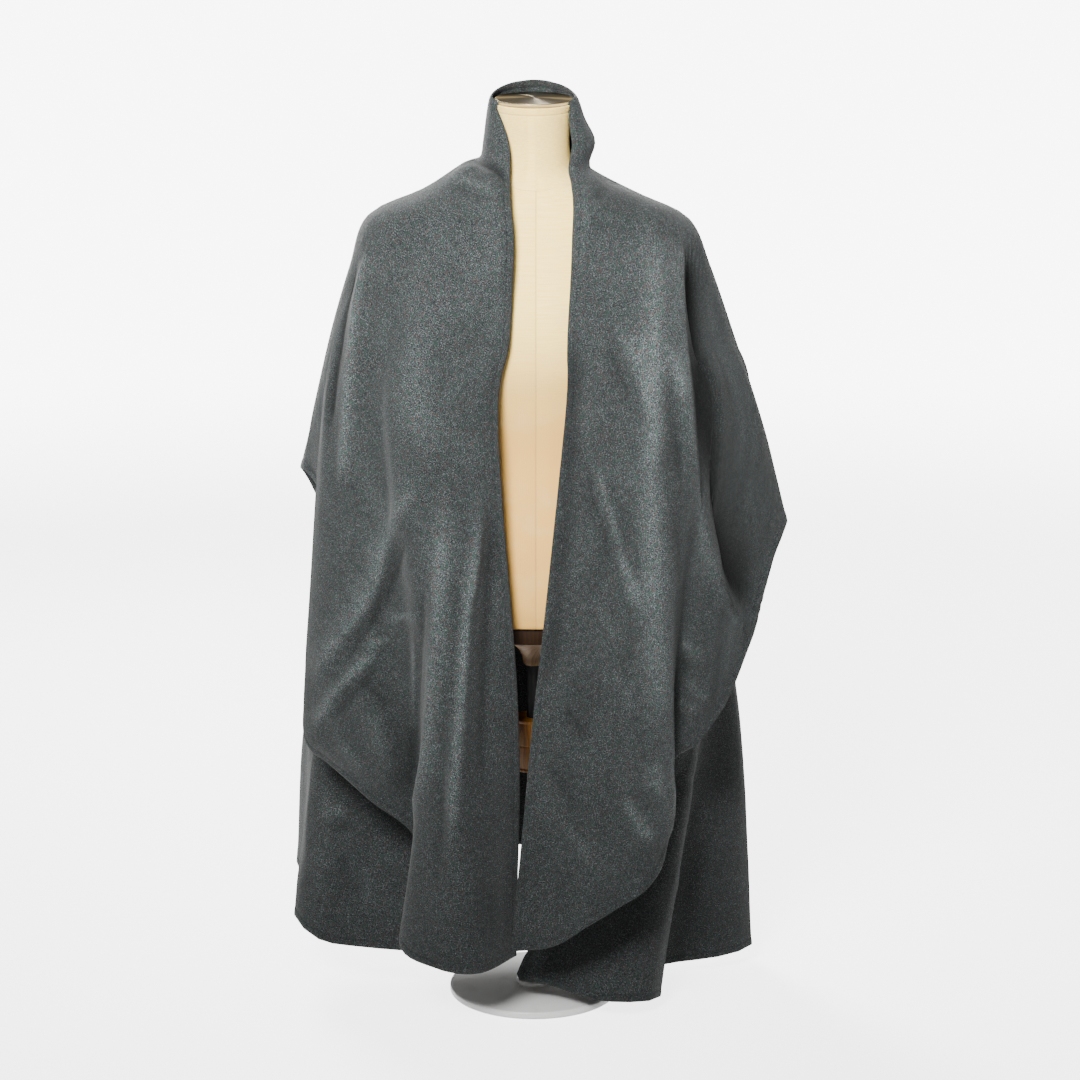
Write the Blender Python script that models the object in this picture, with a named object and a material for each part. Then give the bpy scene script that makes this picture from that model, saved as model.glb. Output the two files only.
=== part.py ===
"""A wool cape coat, cut in one piece with a slit in front, worn on a limbless dress form on its stand.

Metres, +Z up. The front faces -Y. The origin is the middle of the base plate's underside.
"""

import math
from collections import namedtuple

import bmesh
import bpy
import numpy as np
from mathutils import Matrix, Vector
from mathutils.bvhtree import BVHTree

# ---------------------------------------------------------------- driving sizes
SEAT_GAP = 0.0003  # between pieces that rest on each other

CAP_HEIGHT = 1.200  # middle of the neck cap's top, above the floor
CAP_RADIUS = 0.050
CAP_THICK = 0.005
NECK_TILT = 8.5  # degrees that the top of the neck leans forward

TORSO_BOTTOM = 0.5275
BOARD_THICK = 0.022
BOARD_INSET = 0.006
BOSS_RADIUS = 0.058
BOSS_HEIGHT = 0.048
HUB_RADIUS = 0.030
HUB_LOW, HUB_HIGH = 0.314, 0.3845
POST_RADIUS = 0.0095
BASE_RADIUS = 0.115
BASE_THICK = 0.010
FOOT_RADIUS = 0.024
FOOT_HEIGHT = 0.014

CLOTH_THICK = 0.002
CLOTH_CLEAR = 0.0018  # from the form to the middle of the cloth that rests on it
FACING_POWER = 1.3  # how a ring's height goes over from its sides to its front and back
THIGH_HEIGHT = 0.42
FORM_REACH = 0.06  # the furthest that a point of the cloth can be inside the form
INSIDE_LIMIT = -0.5  # a point is inside the form where its way out is this far against the surface
CURVE_STEPS = 160  # points on a fold line before its rows are spaced
CLEAR_PARTS = 3  # steps across a cell of cloth where its clearance is measured

COLUMN_STEP = 0.050  # the widest space between two columns of cloth
YOKE_ROWS = 7  # rings, from the neck edge to the shoulder, that each get a row of points
SKIRT_ROWS = 14  # evenly spaced rows from there to the hem
CAPE_ROWS = YOKE_ROWS + SKIRT_ROWS

# ---------------------------------------------------------------- the dress form
# One row for each level of the form: height, half width, depth in front of and behind x = 0, lean in degrees.
Section = namedtuple("Section", "z half front back lean")
FORM_SECTIONS = [
    Section(TORSO_BOTTOM, 0.158, 0.104, 0.100, 0),
    Section(0.560, 0.164, 0.107, 0.106, 0),
    Section(0.620, 0.160, 0.103, 0.106, 0),
    Section(0.690, 0.140, 0.094, 0.090, 0),
    Section(0.750, 0.127, 0.090, 0.080, 0),
    Section(0.810, 0.134, 0.099, 0.082, 0),
    Section(0.870, 0.150, 0.114, 0.088, 0),
    Section(0.930, 0.168, 0.112, 0.094, 0),
    Section(0.980, 0.186, 0.098, 0.096, 0),
    Section(1.010, 0.194, 0.086, 0.094, 0),
    Section(1.032, 0.195, 0.077, 0.090, 0),
    Section(1.047, 0.187, 0.070, 0.085, 0),
    Section(1.059, 0.172, 0.064, 0.081, 0),
    Section(1.070, 0.150, 0.059, 0.077, 0),
    Section(1.080, 0.122, 0.054, 0.073, 0),
    Section(1.090, 0.092, 0.049, 0.069, 0),
    Section(1.100, 0.065, 0.044, 0.064, 0),
    Section(1.112, 0.051, 0.041, 0.058, 2),
    Section(1.140, 0.0465, 0.041, 0.050, 5),
    Section(1.170, 0.0475, 0.045, 0.048, 7),
    Section(CAP_HEIGHT - CAP_THICK - SEAT_GAP, CAP_RADIUS, 0.050, 0.050, NECK_TILT),
]
FORM_SIDES = 32
FORM_LEVELS = 30
FORM_ROUNDNESS = 0.90  # 1 is an ellipse, less is squarer

# ---------------------------------------------------------------- the cape
# One row for each ring of the cape above the elbow. Heights at the front, the two sides and the back,
# half widths left and right, depths in front and behind, how square the ring is, and where the two
# front edges lie along it, in degrees from the middle of the back.
Ring = namedtuple(
    "Ring", "name z_front z_left z_right z_back left right front back round edge_left edge_right"
)
RINGS = [
    Ring("neck_edge", 1.200, 1.203, 1.203, 1.223, 0.0570, 0.0560, 0.054, 0.0575, 1.0, 114, 118),
    Ring("roll_top", 1.172, 1.176, 1.174, 1.194, 0.0605, 0.0650, 0.055, 0.0640, 1.0, 135, 130),
    Ring("roll", 1.140, 1.148, 1.146, 1.158, 0.0640, 0.0785, 0.057, 0.0700, 1.0, 148, 138),
    Ring("neck_notch", 1.112, 1.125, 1.116, 1.132, 0.0690, 0.0705, 0.064, 0.0740, 1.0, 152, 137),
    Ring("neck_root", 1.098, 1.118, 1.100, 1.119, 0.0900, 0.0870, 0.072, 0.0860, 1.0, 160, 145),
    Ring("yoke", 1.070, 1.086, 1.076, 1.085, 0.1400, 0.1400, 0.088, 0.1000, 0.9, 170, 161),
    Ring("shoulder", 1.037, 1.052, 1.047, 1.050, 0.2125, 0.1995, 0.104, 0.1100, 0.8, 176, 170),
    Ring("arm", 0.985, 0.987, 0.986, 0.986, 0.2370, 0.2280, 0.121, 0.1260, 0.8, 176.4, 172),
    Ring("chest", 0.900, 0.900, 0.900, 0.900, 0.2610, 0.2570, 0.138, 0.1420, 0.8, 176, 174),
    Ring("elbow", 0.790, 0.790, 0.790, 0.790, 0.2830, 0.2930, 0.150, 0.1620, 0.8, 173.5, 175.6),
]

# One row for each fold, valley and edge of the cape, from the left front edge round the back to the
# right front edge. around: its place on the rings, from -1 at the left front edge to 0 at the middle
# of the back and 1 at the right front edge. chest and elbow: how far it stands out of those rings.
# thigh: its place at THIGH_HEIGHT, where the cloth reaches that low. hem: where it ends.
Fold = namedtuple("Fold", "name around chest elbow thigh hem")
FOLDS = [
    Fold("left_edge", -1.000, -0.010, -0.026, (-0.020, -0.140), (-0.022, -0.140, 0.099)),
    Fold("left_ridge", -0.965, 0.000, -0.006, (-0.090, -0.186), (-0.074, -0.200, 0.098)),
    Fold("left_flank", -0.900, 0.002, 0.004, (-0.112, -0.186), (-0.124, -0.192, 0.102)),
    Fold("left_turn", -0.850, 0.002, 0.003, (-0.134, -0.166), (-0.173, -0.152, 0.117)),
    Fold("left_valley", -0.805, -0.002, -0.010, (-0.149, -0.132), (-0.141, -0.112, 0.205)),
    Fold("left_side_1", -0.765, 0.000, -0.004, (-0.170, -0.128), (-0.160, -0.120, 0.262)),
    Fold("left_side_2", -0.725, 0.001, 0.003, (-0.205, -0.138), (-0.207, -0.130, 0.303)),
    Fold("left_side_3", -0.690, 0.001, 0.005, (-0.242, -0.128), (-0.236, -0.120, 0.326)),
    Fold("left_side_4", -0.660, 0.002, 0.006, (-0.274, -0.108), (-0.270, -0.100, 0.350)),
    Fold("left_side_5", -0.630, 0.002, 0.002, (-0.2985, -0.082), (-0.297, -0.080, 0.368)),
    Fold("left_open_1", -0.600, -0.001, -0.004, None, (-0.282, -0.052, 0.530)),
    Fold("left_open_2", -0.570, 0.000, -0.002, None, (-0.277, -0.036, 0.688)),
    Fold("left_open_3", -0.550, 0.001, 0.002, None, (-0.288, -0.018, 0.709)),
    Fold("left_tip", -0.530, 0.002, 0.006, None, (-0.3066, 0.000, 0.7228)),
    Fold("left_back_1", -0.512, 0.000, 0.000, None, (-0.288, 0.004, 0.690)),
    Fold("left_back_2", -0.492, -0.001, -0.006, None, (-0.268, -0.006, 0.600)),
    Fold("left_back_3", -0.472, -0.002, -0.008, None, (-0.234, -0.022, 0.460)),
    Fold("left_back_4", -0.450, -0.003, -0.006, (-0.224, -0.006), (-0.170, -0.052, 0.300)),
    Fold("left_back_5", -0.425, -0.003, -0.006, (-0.236, 0.002), (-0.092, -0.062, 0.160)),
    Fold("left_corner", -0.400, -0.003, -0.006, (-0.247, 0.010), (-0.050, -0.058, 0.070)),
    Fold("left_lap_1", -0.370, -0.002, -0.005, (-0.259, 0.019), (-0.160, -0.046, 0.070)),
    Fold("left_lap_2", -0.340, -0.002, -0.004, (-0.271, 0.029), (-0.245, -0.034, 0.073)),
    Fold("left_lap_3", -0.310, -0.001, -0.002, (-0.284, 0.042), (-0.290, -0.020, 0.076)),
    Fold("left_swing", -0.280, 0.000, 0.000, (-0.297, 0.060), (-0.328, 0.020, 0.096)),
    Fold("left_hip_1", -0.250, 0.000, 0.002, (-0.298, 0.094), (-0.318, 0.082, 0.120)),
    Fold("left_hip_2", -0.215, 0.000, 0.004, (-0.307, 0.128), (-0.336, 0.150, 0.142)),
    Fold("left_back_6", -0.165, 0.000, 0.006, (-0.262, 0.170), (-0.278, 0.196, 0.144)),
    Fold("left_back_7", -0.115, 0.000, 0.000, (-0.180, 0.180), (-0.186, 0.192, 0.140)),
    Fold("left_back_8", -0.060, 0.002, 0.004, (-0.092, 0.198), (-0.094, 0.212, 0.139)),
    Fold("back_middle", 0.000, 0.000, 0.000, (0.000, 0.192), (0.000, 0.200, 0.139)),
    Fold("right_back_7", 0.055, 0.002, 0.004, (0.086, 0.198), (0.092, 0.212, 0.134)),
    Fold("right_back_6", 0.105, 0.000, 0.000, (0.168, 0.178), (0.178, 0.188, 0.112)),
    Fold("right_back_5", 0.150, 0.000, 0.004, (0.238, 0.160), (0.252, 0.172, 0.070)),
    Fold("right_hip", 0.190, 0.000, 0.003, (0.272, 0.125), (0.292, 0.128, 0.040)),
    Fold("right_swing", 0.220, 0.000, 0.000, (0.276, 0.098), (0.303, 0.080, 0.032)),
    Fold("right_lap_1", 0.250, -0.001, -0.003, (0.262, 0.078), (0.252, 0.050, 0.026)),
    Fold("right_lap_2", 0.280, -0.001, -0.004, (0.246, 0.058), (0.196, 0.036, 0.023)),
    Fold("right_lap_3", 0.305, -0.001, -0.004, (0.235, 0.040), (0.156, 0.004, 0.022)),
    Fold("right_pleat_1", 0.330, -0.001, -0.004, (0.231, 0.024), (0.170, -0.086, 0.020)),
    Fold("right_pleat_2", 0.352, -0.001, -0.004, (0.231, 0.012), (0.123, -0.124, 0.028)),
    Fold("right_pleat_3", 0.372, -0.001, -0.004, (0.230, 0.001), (0.074, -0.116, 0.029)),
    Fold("right_pleat_4", 0.392, -0.001, -0.004, (0.227, -0.010), (0.048, -0.106, 0.036)),
    Fold("right_pleat_5", 0.412, -0.001, -0.004, (0.223, -0.020), (0.012, -0.092, 0.042)),
    Fold("right_corner", 0.432, -0.001, -0.004, (0.218, -0.030), (-0.024, -0.080, 0.043)),
    Fold("right_back_4", 0.452, 0.000, -0.004, (0.212, -0.042), (0.044, -0.090, 0.150)),
    Fold("right_back_3", 0.472, 0.000, -0.003, (0.206, -0.056), (0.128, -0.095, 0.290)),
    Fold("right_back_2", 0.494, 0.000, -0.003, None, (0.222, -0.078, 0.440)),
    Fold("right_back_1", 0.512, 0.000, 0.000, None, (0.298, -0.030, 0.570)),
    Fold("right_tip_2", 0.524, 0.001, 0.002, None, (0.327, 0.010, 0.646)),
    Fold("right_tip", 0.538, 0.001, 0.003, None, (0.335, 0.000, 0.654)),
    Fold("right_open_3", 0.556, -0.001, 0.002, None, (0.325, -0.022, 0.632)),
    Fold("right_open_2", 0.580, -0.003, 0.000, None, (0.316, -0.030, 0.610)),
    Fold("right_open_1", 0.612, -0.008, -0.010, None, (0.301, -0.050, 0.553)),
    Fold("right_side_6", 0.650, -0.010, -0.016, None, (0.276, -0.078, 0.490)),
    Fold("right_side_5", 0.690, -0.004, -0.008, None, (0.240, -0.112, 0.417)),
    Fold("right_side_4", 0.720, 0.000, 0.002, (0.222, -0.124), (0.204, -0.128, 0.384)),
    Fold("right_side_3", 0.745, 0.002, 0.004, (0.196, -0.136), (0.176, -0.132, 0.360)),
    Fold("right_valley", 0.775, 0.000, 0.000, (0.170, -0.142), (0.150, -0.140, 0.312)),
    Fold("right_turn", 0.810, 0.003, 0.005, (0.164, -0.166), (0.166, -0.180, 0.246)),
    Fold("right_ridge", 0.840, 0.004, 0.008, (0.150, -0.184), (0.144, -0.200, 0.212)),
    Fold("right_flank", 0.880, 0.001, 0.003, (0.112, -0.184), (0.110, -0.202, 0.188)),
    Fold("right_plain", 0.935, 0.000, 0.000, (0.066, -0.180), (0.070, -0.202, 0.162)),
    Fold("right_fall", 0.975, -0.002, -0.004, (0.024, -0.172), (0.022, -0.188, 0.128)),
    Fold("right_edge", 1.000, -0.006, -0.016, (-0.001, -0.163), (-0.0222, -0.173, 0.117)),
]


# ---------------------------------------------------------------- materials and object helpers
def make_material(name, colour, roughness, metallic=0.0):
    """A plain finish of the piece's own colour."""
    material = bpy.data.materials.new(name)
    material.use_nodes = True
    shader = material.node_tree.nodes["Principled BSDF"]
    shader.inputs["Base Color"].default_value = (*colour, 1.0)
    shader.inputs["Roughness"].default_value = roughness
    shader.inputs["Metallic"].default_value = metallic
    material.diffuse_color = (*colour, 1.0)
    return material


def add_object(name, mesh, material, smooth_angle=40):
    mesh.materials.append(material)
    mesh.shade_smooth()
    mesh.set_sharp_from_angle(angle=math.radians(smooth_angle))
    piece = bpy.data.objects.new(name, mesh)
    bpy.context.scene.collection.objects.link(piece)
    return piece


def to_mesh(name, bm):
    mesh = bpy.data.meshes.new(name)
    bmesh.ops.recalc_face_normals(bm, faces=bm.faces)
    bm.to_mesh(mesh)
    bm.free()
    return mesh


def turned(name, profile, material, sides=24):
    """A piece turned on a lathe: profile is a closed loop of (radius, height) points off the axis, or one
    that starts and ends on it."""
    bm = bmesh.new()
    points = [bm.verts.new((radius, 0.0, height)) for radius, height in profile]
    edges = [bm.edges.new(pair) for pair in zip(points, points[1:])]
    if profile[0][0] > 0:
        edges.append(bm.edges.new((points[-1], points[0])))
    bmesh.ops.spin(
        bm, geom=points + edges, cent=(0, 0, 0), axis=(0, 0, 1), angle=math.tau, steps=sides, use_merge=True
    )
    bmesh.ops.remove_doubles(bm, verts=bm.verts, dist=0.00002)
    return add_object(name, to_mesh(name, bm), material)


# ---------------------------------------------------------------- the dress form and its stand
def ring_point(half, front, back, roundness, degrees):
    """A point of a level ring, at an angle from its back, clockwise seen from above."""
    across = math.sin(math.radians(degrees))
    along = math.cos(math.radians(degrees))
    depth = back if along > 0 else front
    x = half * math.copysign(abs(across) ** roundness, across)
    y = depth * math.copysign(abs(along) ** roundness, along)
    return x, y


def form_ring(section, inset=0.0):
    """The points round one level of the form."""
    middle = Vector((0.0, (section.back - section.front) / 2, section.z))
    tilt = Matrix.Rotation(math.radians(section.lean), 3, "X")
    depth = (section.back + section.front) / 2 - inset
    ring = []
    for i in range(FORM_SIDES):
        x, y = ring_point(section.half - inset, depth, depth, FORM_ROUNDNESS, 360 * i / FORM_SIDES)
        ring.append(middle + tilt @ Vector((x, y, 0.0)))
    return ring


def loft(name, rings, material):
    """A closed solid through level rings, lowest first."""
    bm = bmesh.new()
    loops = [[bm.verts.new(point) for point in ring] for ring in rings]
    count = len(rings[0])
    for low, high in zip(loops, loops[1:]):
        for i in range(count):
            j = (i + 1) % count
            bm.faces.new((low[i], low[j], high[j], high[i]))
    bm.faces.new(loops[0])
    bm.faces.new(loops[-1])
    return add_object(name, to_mesh(name, bm), material, 50)


def smooth_rows(rows, count):
    """More rows between the given ones, on a smooth curve through them."""
    table = np.array([list(row) for row in rows], float)
    return spline(table, np.linspace(0.0, 1.0, count))


def build_form(cream, dark_wood):
    sections = [Section(*row) for row in smooth_rows(FORM_SECTIONS, FORM_LEVELS)]
    body = loft("form_body", [form_ring(section) for section in sections], cream)
    low = FORM_SECTIONS[0]
    board_high = low.z - SEAT_GAP
    board = [
        form_ring(low._replace(z=board_high - BOARD_THICK), BOARD_INSET + 0.002),
        form_ring(low._replace(z=board_high - BOARD_THICK + 0.002), BOARD_INSET),
        form_ring(low._replace(z=board_high - 0.002), BOARD_INSET),
        form_ring(low._replace(z=board_high), BOARD_INSET + 0.002),
    ]
    loft("bottom_board", board, dark_wood)
    return body


def build_cap(metal):
    """The disc on the neck, tilted as the neck is."""
    rim = 0.0012
    profile = [
        (0.0, -CAP_THICK),
        (CAP_RADIUS - rim, -CAP_THICK),
        (CAP_RADIUS, -CAP_THICK + rim),
        (CAP_RADIUS, -rim),
        (CAP_RADIUS - rim, 0.0),
        (CAP_RADIUS * 0.5, 0.0004),
        (0.0, 0.0012),
    ]
    cap = turned("neck_cap", profile, metal, 32)
    lean = Matrix.Rotation(math.radians(NECK_TILT), 4, "X")
    cap.data.transform(Matrix.Translation((0.0, 0.0, CAP_HEIGHT)) @ lean)
    return cap


def build_stand(pale_wood, brown_wood, steel, paint):
    bore = POST_RADIUS + SEAT_GAP
    board_low = TORSO_BOTTOM - SEAT_GAP - BOARD_THICK
    boss_high = board_low - SEAT_GAP
    boss_low = boss_high - BOSS_HEIGHT
    socket = boss_high - 0.014
    boss = [
        (0.0, boss_high),
        (BOSS_RADIUS - 0.002, boss_high),
        (BOSS_RADIUS, boss_high - 0.002),
        (BOSS_RADIUS, boss_high - 0.006),
        (BOSS_RADIUS * 0.78, boss_high - 0.011),
        (BOSS_RADIUS * 0.56, boss_high - 0.017),
        (BOSS_RADIUS * 0.39, boss_high - 0.025),
        (BOSS_RADIUS * 0.28, boss_high - 0.035),
        (BOSS_RADIUS * 0.245, boss_low + 0.002),
        (BOSS_RADIUS * 0.230, boss_low),
        (bore, boss_low),
        (bore, socket),
        (0.0, socket),
    ]
    turned("turned_boss", boss, pale_wood)

    foot_low = BASE_THICK + SEAT_GAP
    post = [
        (0.0, foot_low),
        (POST_RADIUS, foot_low),
        (POST_RADIUS, socket - SEAT_GAP),
        (0.0, socket - SEAT_GAP),
    ]
    turned("post", post, steel, 16)

    edge, groove = 0.002, 0.0012
    middle = (HUB_LOW + HUB_HIGH) / 2
    hub = [
        (bore, HUB_LOW),
        (HUB_RADIUS - edge, HUB_LOW),
        (HUB_RADIUS, HUB_LOW + edge),
        (HUB_RADIUS, middle - groove),
        (HUB_RADIUS - groove, middle),
        (HUB_RADIUS, middle + groove),
        (HUB_RADIUS, HUB_HIGH - edge),
        (HUB_RADIUS - edge, HUB_HIGH),
        (bore, HUB_HIGH),
    ]
    turned("hub", hub, brown_wood, 20)

    foot = [
        (bore, foot_low),
        (FOOT_RADIUS, foot_low),
        (FOOT_RADIUS, foot_low + FOOT_HEIGHT * 0.3),
        (FOOT_RADIUS * 0.6, foot_low + FOOT_HEIGHT - 0.001),
        (FOOT_RADIUS * 0.6 - 0.001, foot_low + FOOT_HEIGHT),
        (bore, foot_low + FOOT_HEIGHT),
    ]
    turned("foot_collar", foot, steel, 20)

    edge = 0.0015
    base = [
        (0.0, 0.0),
        (BASE_RADIUS - edge, 0.0),
        (BASE_RADIUS, edge),
        (BASE_RADIUS, BASE_THICK - edge),
        (BASE_RADIUS - edge, BASE_THICK),
        (0.0, BASE_THICK),
    ]
    turned("base_plate", base, paint, 40)


# ---------------------------------------------------------------- curves
def spline(points, places):
    """Points on a smooth curve through the given ones, at places from 0 to 1 by the given ones' number."""
    points = np.asarray(points, float)
    padded = np.vstack([2 * points[0] - points[1], points, 2 * points[-1] - points[-2]])
    at = np.asarray(places) * (len(points) - 1)
    first = np.minimum(at.astype(int), len(points) - 2)
    t = (at - first)[:, None]
    a, b, c, d = (padded[first + k] for k in range(4))
    bend = (2 * a - 5 * b + 4 * c - d) * t**2 + (3 * b - a - 3 * c + d) * t**3
    return b + 0.5 * ((c - a) * t + bend)


def spread_evenly(points, count):
    """The same curve with count points, evenly spaced along it."""
    steps = np.linalg.norm(np.diff(points, axis=0), axis=1)
    along = np.concatenate([[0.0], np.cumsum(steps)])
    wanted = np.linspace(0.0, along[-1], count)
    return np.stack([np.interp(wanted, along, points[:, k]) for k in range(3)], axis=1)


# ---------------------------------------------------------------- the cape
def on_ring(ring, fold):
    """Where a fold crosses a ring."""
    edge = ring.edge_left if fold.around < 0 else ring.edge_right
    half = ring.left if fold.around < 0 else ring.right
    degrees = fold.around * edge
    x, y = ring_point(half, ring.front, ring.back, ring.round, degrees)
    out = {"chest": fold.chest, "elbow": fold.elbow}.get(ring.name, 0.0)
    length = math.hypot(x / half, y / ring.front)
    x += out * x / half / length
    y += out * y / ring.front / length
    facing = math.cos(math.radians(degrees))
    side = ring.z_left if fold.around < 0 else ring.z_right
    end = ring.z_back if facing > 0 else ring.z_front
    z = side + (end - side) * abs(facing) ** FACING_POWER
    return x, y, z


def fold_line(fold):
    """The line of one fold, from the neck edge to the hem."""
    knots = [on_ring(ring, fold) for ring in RINGS]
    if fold.thigh:
        knots.append((*fold.thigh, THIGH_HEIGHT))
    knots.append(fold.hem)
    shoulder = YOKE_ROWS - 1
    skirt = spline(knots, np.linspace(shoulder / (len(knots) - 1), 1.0, CURVE_STEPS))
    return np.vstack([knots[:shoulder], spread_evenly(skirt, SKIRT_ROWS + 1)])


def cape_grid():
    """The middle of the cloth, as columns from edge to edge and rows from neck to hem."""
    lines = np.array([fold_line(fold) for fold in FOLDS])
    count = len(lines)
    gaps = np.linalg.norm(np.diff(lines, axis=0), axis=2).max(axis=1)
    places = [0.0]
    for first, gap in enumerate(gaps):
        steps = max(1, math.ceil(gap / COLUMN_STEP))
        places += [(first + (k + 1) / steps) / (count - 1) for k in range(steps)]
    flat = spline(lines.reshape(count, -1), np.array(places))
    return flat.reshape(len(places), CAPE_ROWS, 3)


def surface_of(piece):
    mesh = piece.data
    return BVHTree.FromPolygons([v.co for v in mesh.vertices], [tuple(p.vertices) for p in mesh.polygons])


def push_out(grid, form):
    """Moves the cloth off the form, until CLOTH_CLEAR is left at its points and at those between them."""
    parts = [i / CLEAR_PARTS for i in range(CLEAR_PARTS + 1)]
    for column in range(len(grid) - 1):
        for row in range(CAPE_ROWS - 1):
            cell = grid[column : column + 2, row : row + 2]
            for s in parts:
                across = cell[0] * (1 - s) + cell[1] * s
                for t in parts:
                    point = Vector(across[0] * (1 - t) + across[1] * t)
                    place, normal, _, far = form.find_nearest(point)
                    way = (point - place).normalized()
                    if way.dot(normal) < INSIDE_LIMIT:
                        way, far = -way, -far
                    if -FORM_REACH < far < CLOTH_CLEAR:
                        cell += np.array(way * (CLOTH_CLEAR - far))


def relax(grid, amount):
    """Takes sharp steps out of the cloth, and leaves its edges."""
    inner = grid[1:-1, 1:-1]
    around = grid[:-2, 1:-1] + grid[2:, 1:-1] + grid[1:-1, :-2] + grid[1:-1, 2:]
    grid[1:-1, 1:-1] = inner + amount * (around / 4 - inner)


def build_cape(form_piece, wool):
    form = surface_of(form_piece)
    grid = cape_grid()
    push_out(grid, form)
    relax(grid, 0.25)
    push_out(grid, form)

    bm = bmesh.new()
    verts = [[bm.verts.new(point) for point in column] for column in grid]
    for left, right in zip(verts, verts[1:]):
        for row in range(CAPE_ROWS - 1):
            bm.faces.new((left[row], left[row + 1], right[row + 1], right[row]))
    mesh = bpy.data.meshes.new("cape_panel")
    bm.to_mesh(mesh)
    bm.free()
    cape = add_object("cape_panel", mesh, wool, 60)
    wall = cape.modifiers.new("wall", "SOLIDIFY")
    wall.thickness = CLOTH_THICK
    wall.offset = 0.0
    return cape


def main():
    for existing in list(bpy.data.objects):
        bpy.data.objects.remove(existing, do_unlink=True)
    cream = make_material("cream_cover", (0.78, 0.69, 0.50), 0.85)
    nickel = make_material("bronze_nickel", (0.42, 0.37, 0.28), 0.35, 1.0)
    dark_wood = make_material("dark_wood", (0.10, 0.055, 0.025), 0.55)
    pale_wood = make_material("pale_wood", (0.50, 0.36, 0.24), 0.5)
    brown_wood = make_material("brown_wood", (0.36, 0.20, 0.09), 0.5)
    steel = make_material("black_steel", (0.02, 0.02, 0.02), 0.45, 0.6)
    paint = make_material("pale_paint", (0.75, 0.74, 0.71), 0.4)
    wool = make_material("grey_wool", (0.09, 0.105, 0.11), 0.95)
    form = build_form(cream, dark_wood)
    build_cap(nickel)
    build_stand(pale_wood, brown_wood, steel, paint)
    build_cape(form, wool)


main()
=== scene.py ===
"""The looks of an open-front wool cape coat, worn on a limbless dress form on its stand.

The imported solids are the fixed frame. The cape is draped from the same rings and folds as its solid, with
many more columns and rows, its creases, its turned and stitched edge, and its heathered wool. The form
and the stand stay where their solids are. Metres, +Z up, and the front faces -Y.
"""

import math
from collections import namedtuple

import bmesh
import bpy
import numpy as np
from mathutils import Matrix, Vector, noise
from mathutils.bvhtree import BVHTree


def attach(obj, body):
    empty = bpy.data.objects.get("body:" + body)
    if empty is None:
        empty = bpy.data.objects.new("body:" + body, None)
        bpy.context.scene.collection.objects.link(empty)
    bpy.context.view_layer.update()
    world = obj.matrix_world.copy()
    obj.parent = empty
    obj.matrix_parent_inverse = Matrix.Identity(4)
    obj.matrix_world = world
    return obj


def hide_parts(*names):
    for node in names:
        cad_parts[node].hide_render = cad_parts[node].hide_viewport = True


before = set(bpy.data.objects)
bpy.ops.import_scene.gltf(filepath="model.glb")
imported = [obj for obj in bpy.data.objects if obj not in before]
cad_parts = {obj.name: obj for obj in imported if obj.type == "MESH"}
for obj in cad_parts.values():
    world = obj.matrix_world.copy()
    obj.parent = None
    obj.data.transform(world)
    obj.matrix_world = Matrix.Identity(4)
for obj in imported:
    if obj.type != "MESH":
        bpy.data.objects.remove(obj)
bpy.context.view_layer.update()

# ---------------------------------------------------------------- sizes
MM = 0.001
SEAT_GAP = 0.3 * MM  # between pieces that rest on each other

# the cape's cloth
CLOTH_THICK = 1.8 * MM
EDGE_THICK = 2.8 * MM  # where the edge is turned under and is double
EDGE_ROWS = np.array([0.0, 2.0, 4.5, 7.3, 9.0, 10.7, 13.0]) * MM  # rows of points beside each edge
EDGE_PROFILE = (0.75, 1.0, 1.0, 0.95, 0.40, 0.62, 0.64)  # thickness at those rows, of EDGE_THICK
STITCH_ROW = 4  # the row that the stitches pull in
STITCH_STEP = 4.2 * MM
STITCH_LONG, STITCH_WIDE, STITCH_HIGH = 3.1 * MM, 0.9 * MM, 0.7 * MM
STITCH_LIFT = 0.2  # of its height, from the groove to its middle
STEEPEST_HEM = 0.45  # least sine of the angle between a column and the hem that its edge rows allow for
HEM_COLUMNS = 7  # over which that is evened out
CLOTH_CLEAR = 2.0 * MM  # from the form to the middle of the cloth that rests on it
FORM_REACH = 60 * MM  # the furthest that a point of the cloth can be inside the form
INSIDE_LIMIT = -0.5  # a point is inside the form where its way out is this far against the surface

YOKE_RINGS = 7  # rings from the neck edge to the shoulder, at set heights
YOKE_STEPS = 4  # rows from one of those rings to the next
SKIRT_ROWS = 86  # evenly spaced rows from the shoulder to the hem
CURVE_STEPS = 240
FACING_POWER = 1.3  # how a ring's height goes over from its sides to its front and back
THIGH_HEIGHT = 0.42
FRONT_STEP, BACK_STEP = 5.6 * MM, 20 * MM  # widest spaces between columns, in the fronts and the back
STEP_SHARE = 0.8  # of the rows, in which the columns are no further apart
LEFT_TIP, RIGHT_TIP = -0.530, 0.538  # how far round the two side points of the hem are
CREASE_STEPS = 80
SMOOTH_PASSES = 40  # evens out how deep each crease's line lies
SPREAD_PASSES = 12  # how far a push off the form is spread over the cloth beside it
SLACK_TOP = 1.05  # height under which hanging cloth is slack
LEAST_SLACK = 0.1
# Its waves: how wide and high they are, how much shorter a height counts, and how far they are shifted.
Wave = namedtuple("Wave", "width height upright shift")
SLACK_WAVES = [Wave(120 * MM, 4 * MM, 0.35, 0.0), Wave(45 * MM, 1.2 * MM, 0.5, 5.0)]
ROLL_WIDE, ROLL_DEEP, TOP_ROLL_DEEP = 16 * MM, 7 * MM, 3 * MM  # how the edges beside the neck turn in
ROLL_BAND = (0.80, 1.05)  # heights between which that begins
CORNER_WIDE, CORNER_DROP = 22 * MM, 9 * MM  # how the corners of the neck edge are rounded
FOLD_SHADE_STEEP = 0.55  # height of a fold against its width that gives one unit of painted highlight along a fold and painted shade in a trough
WEAVE_SHIFT = 3.7  # keeps the back's weave from starting where the fronts' does

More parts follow.
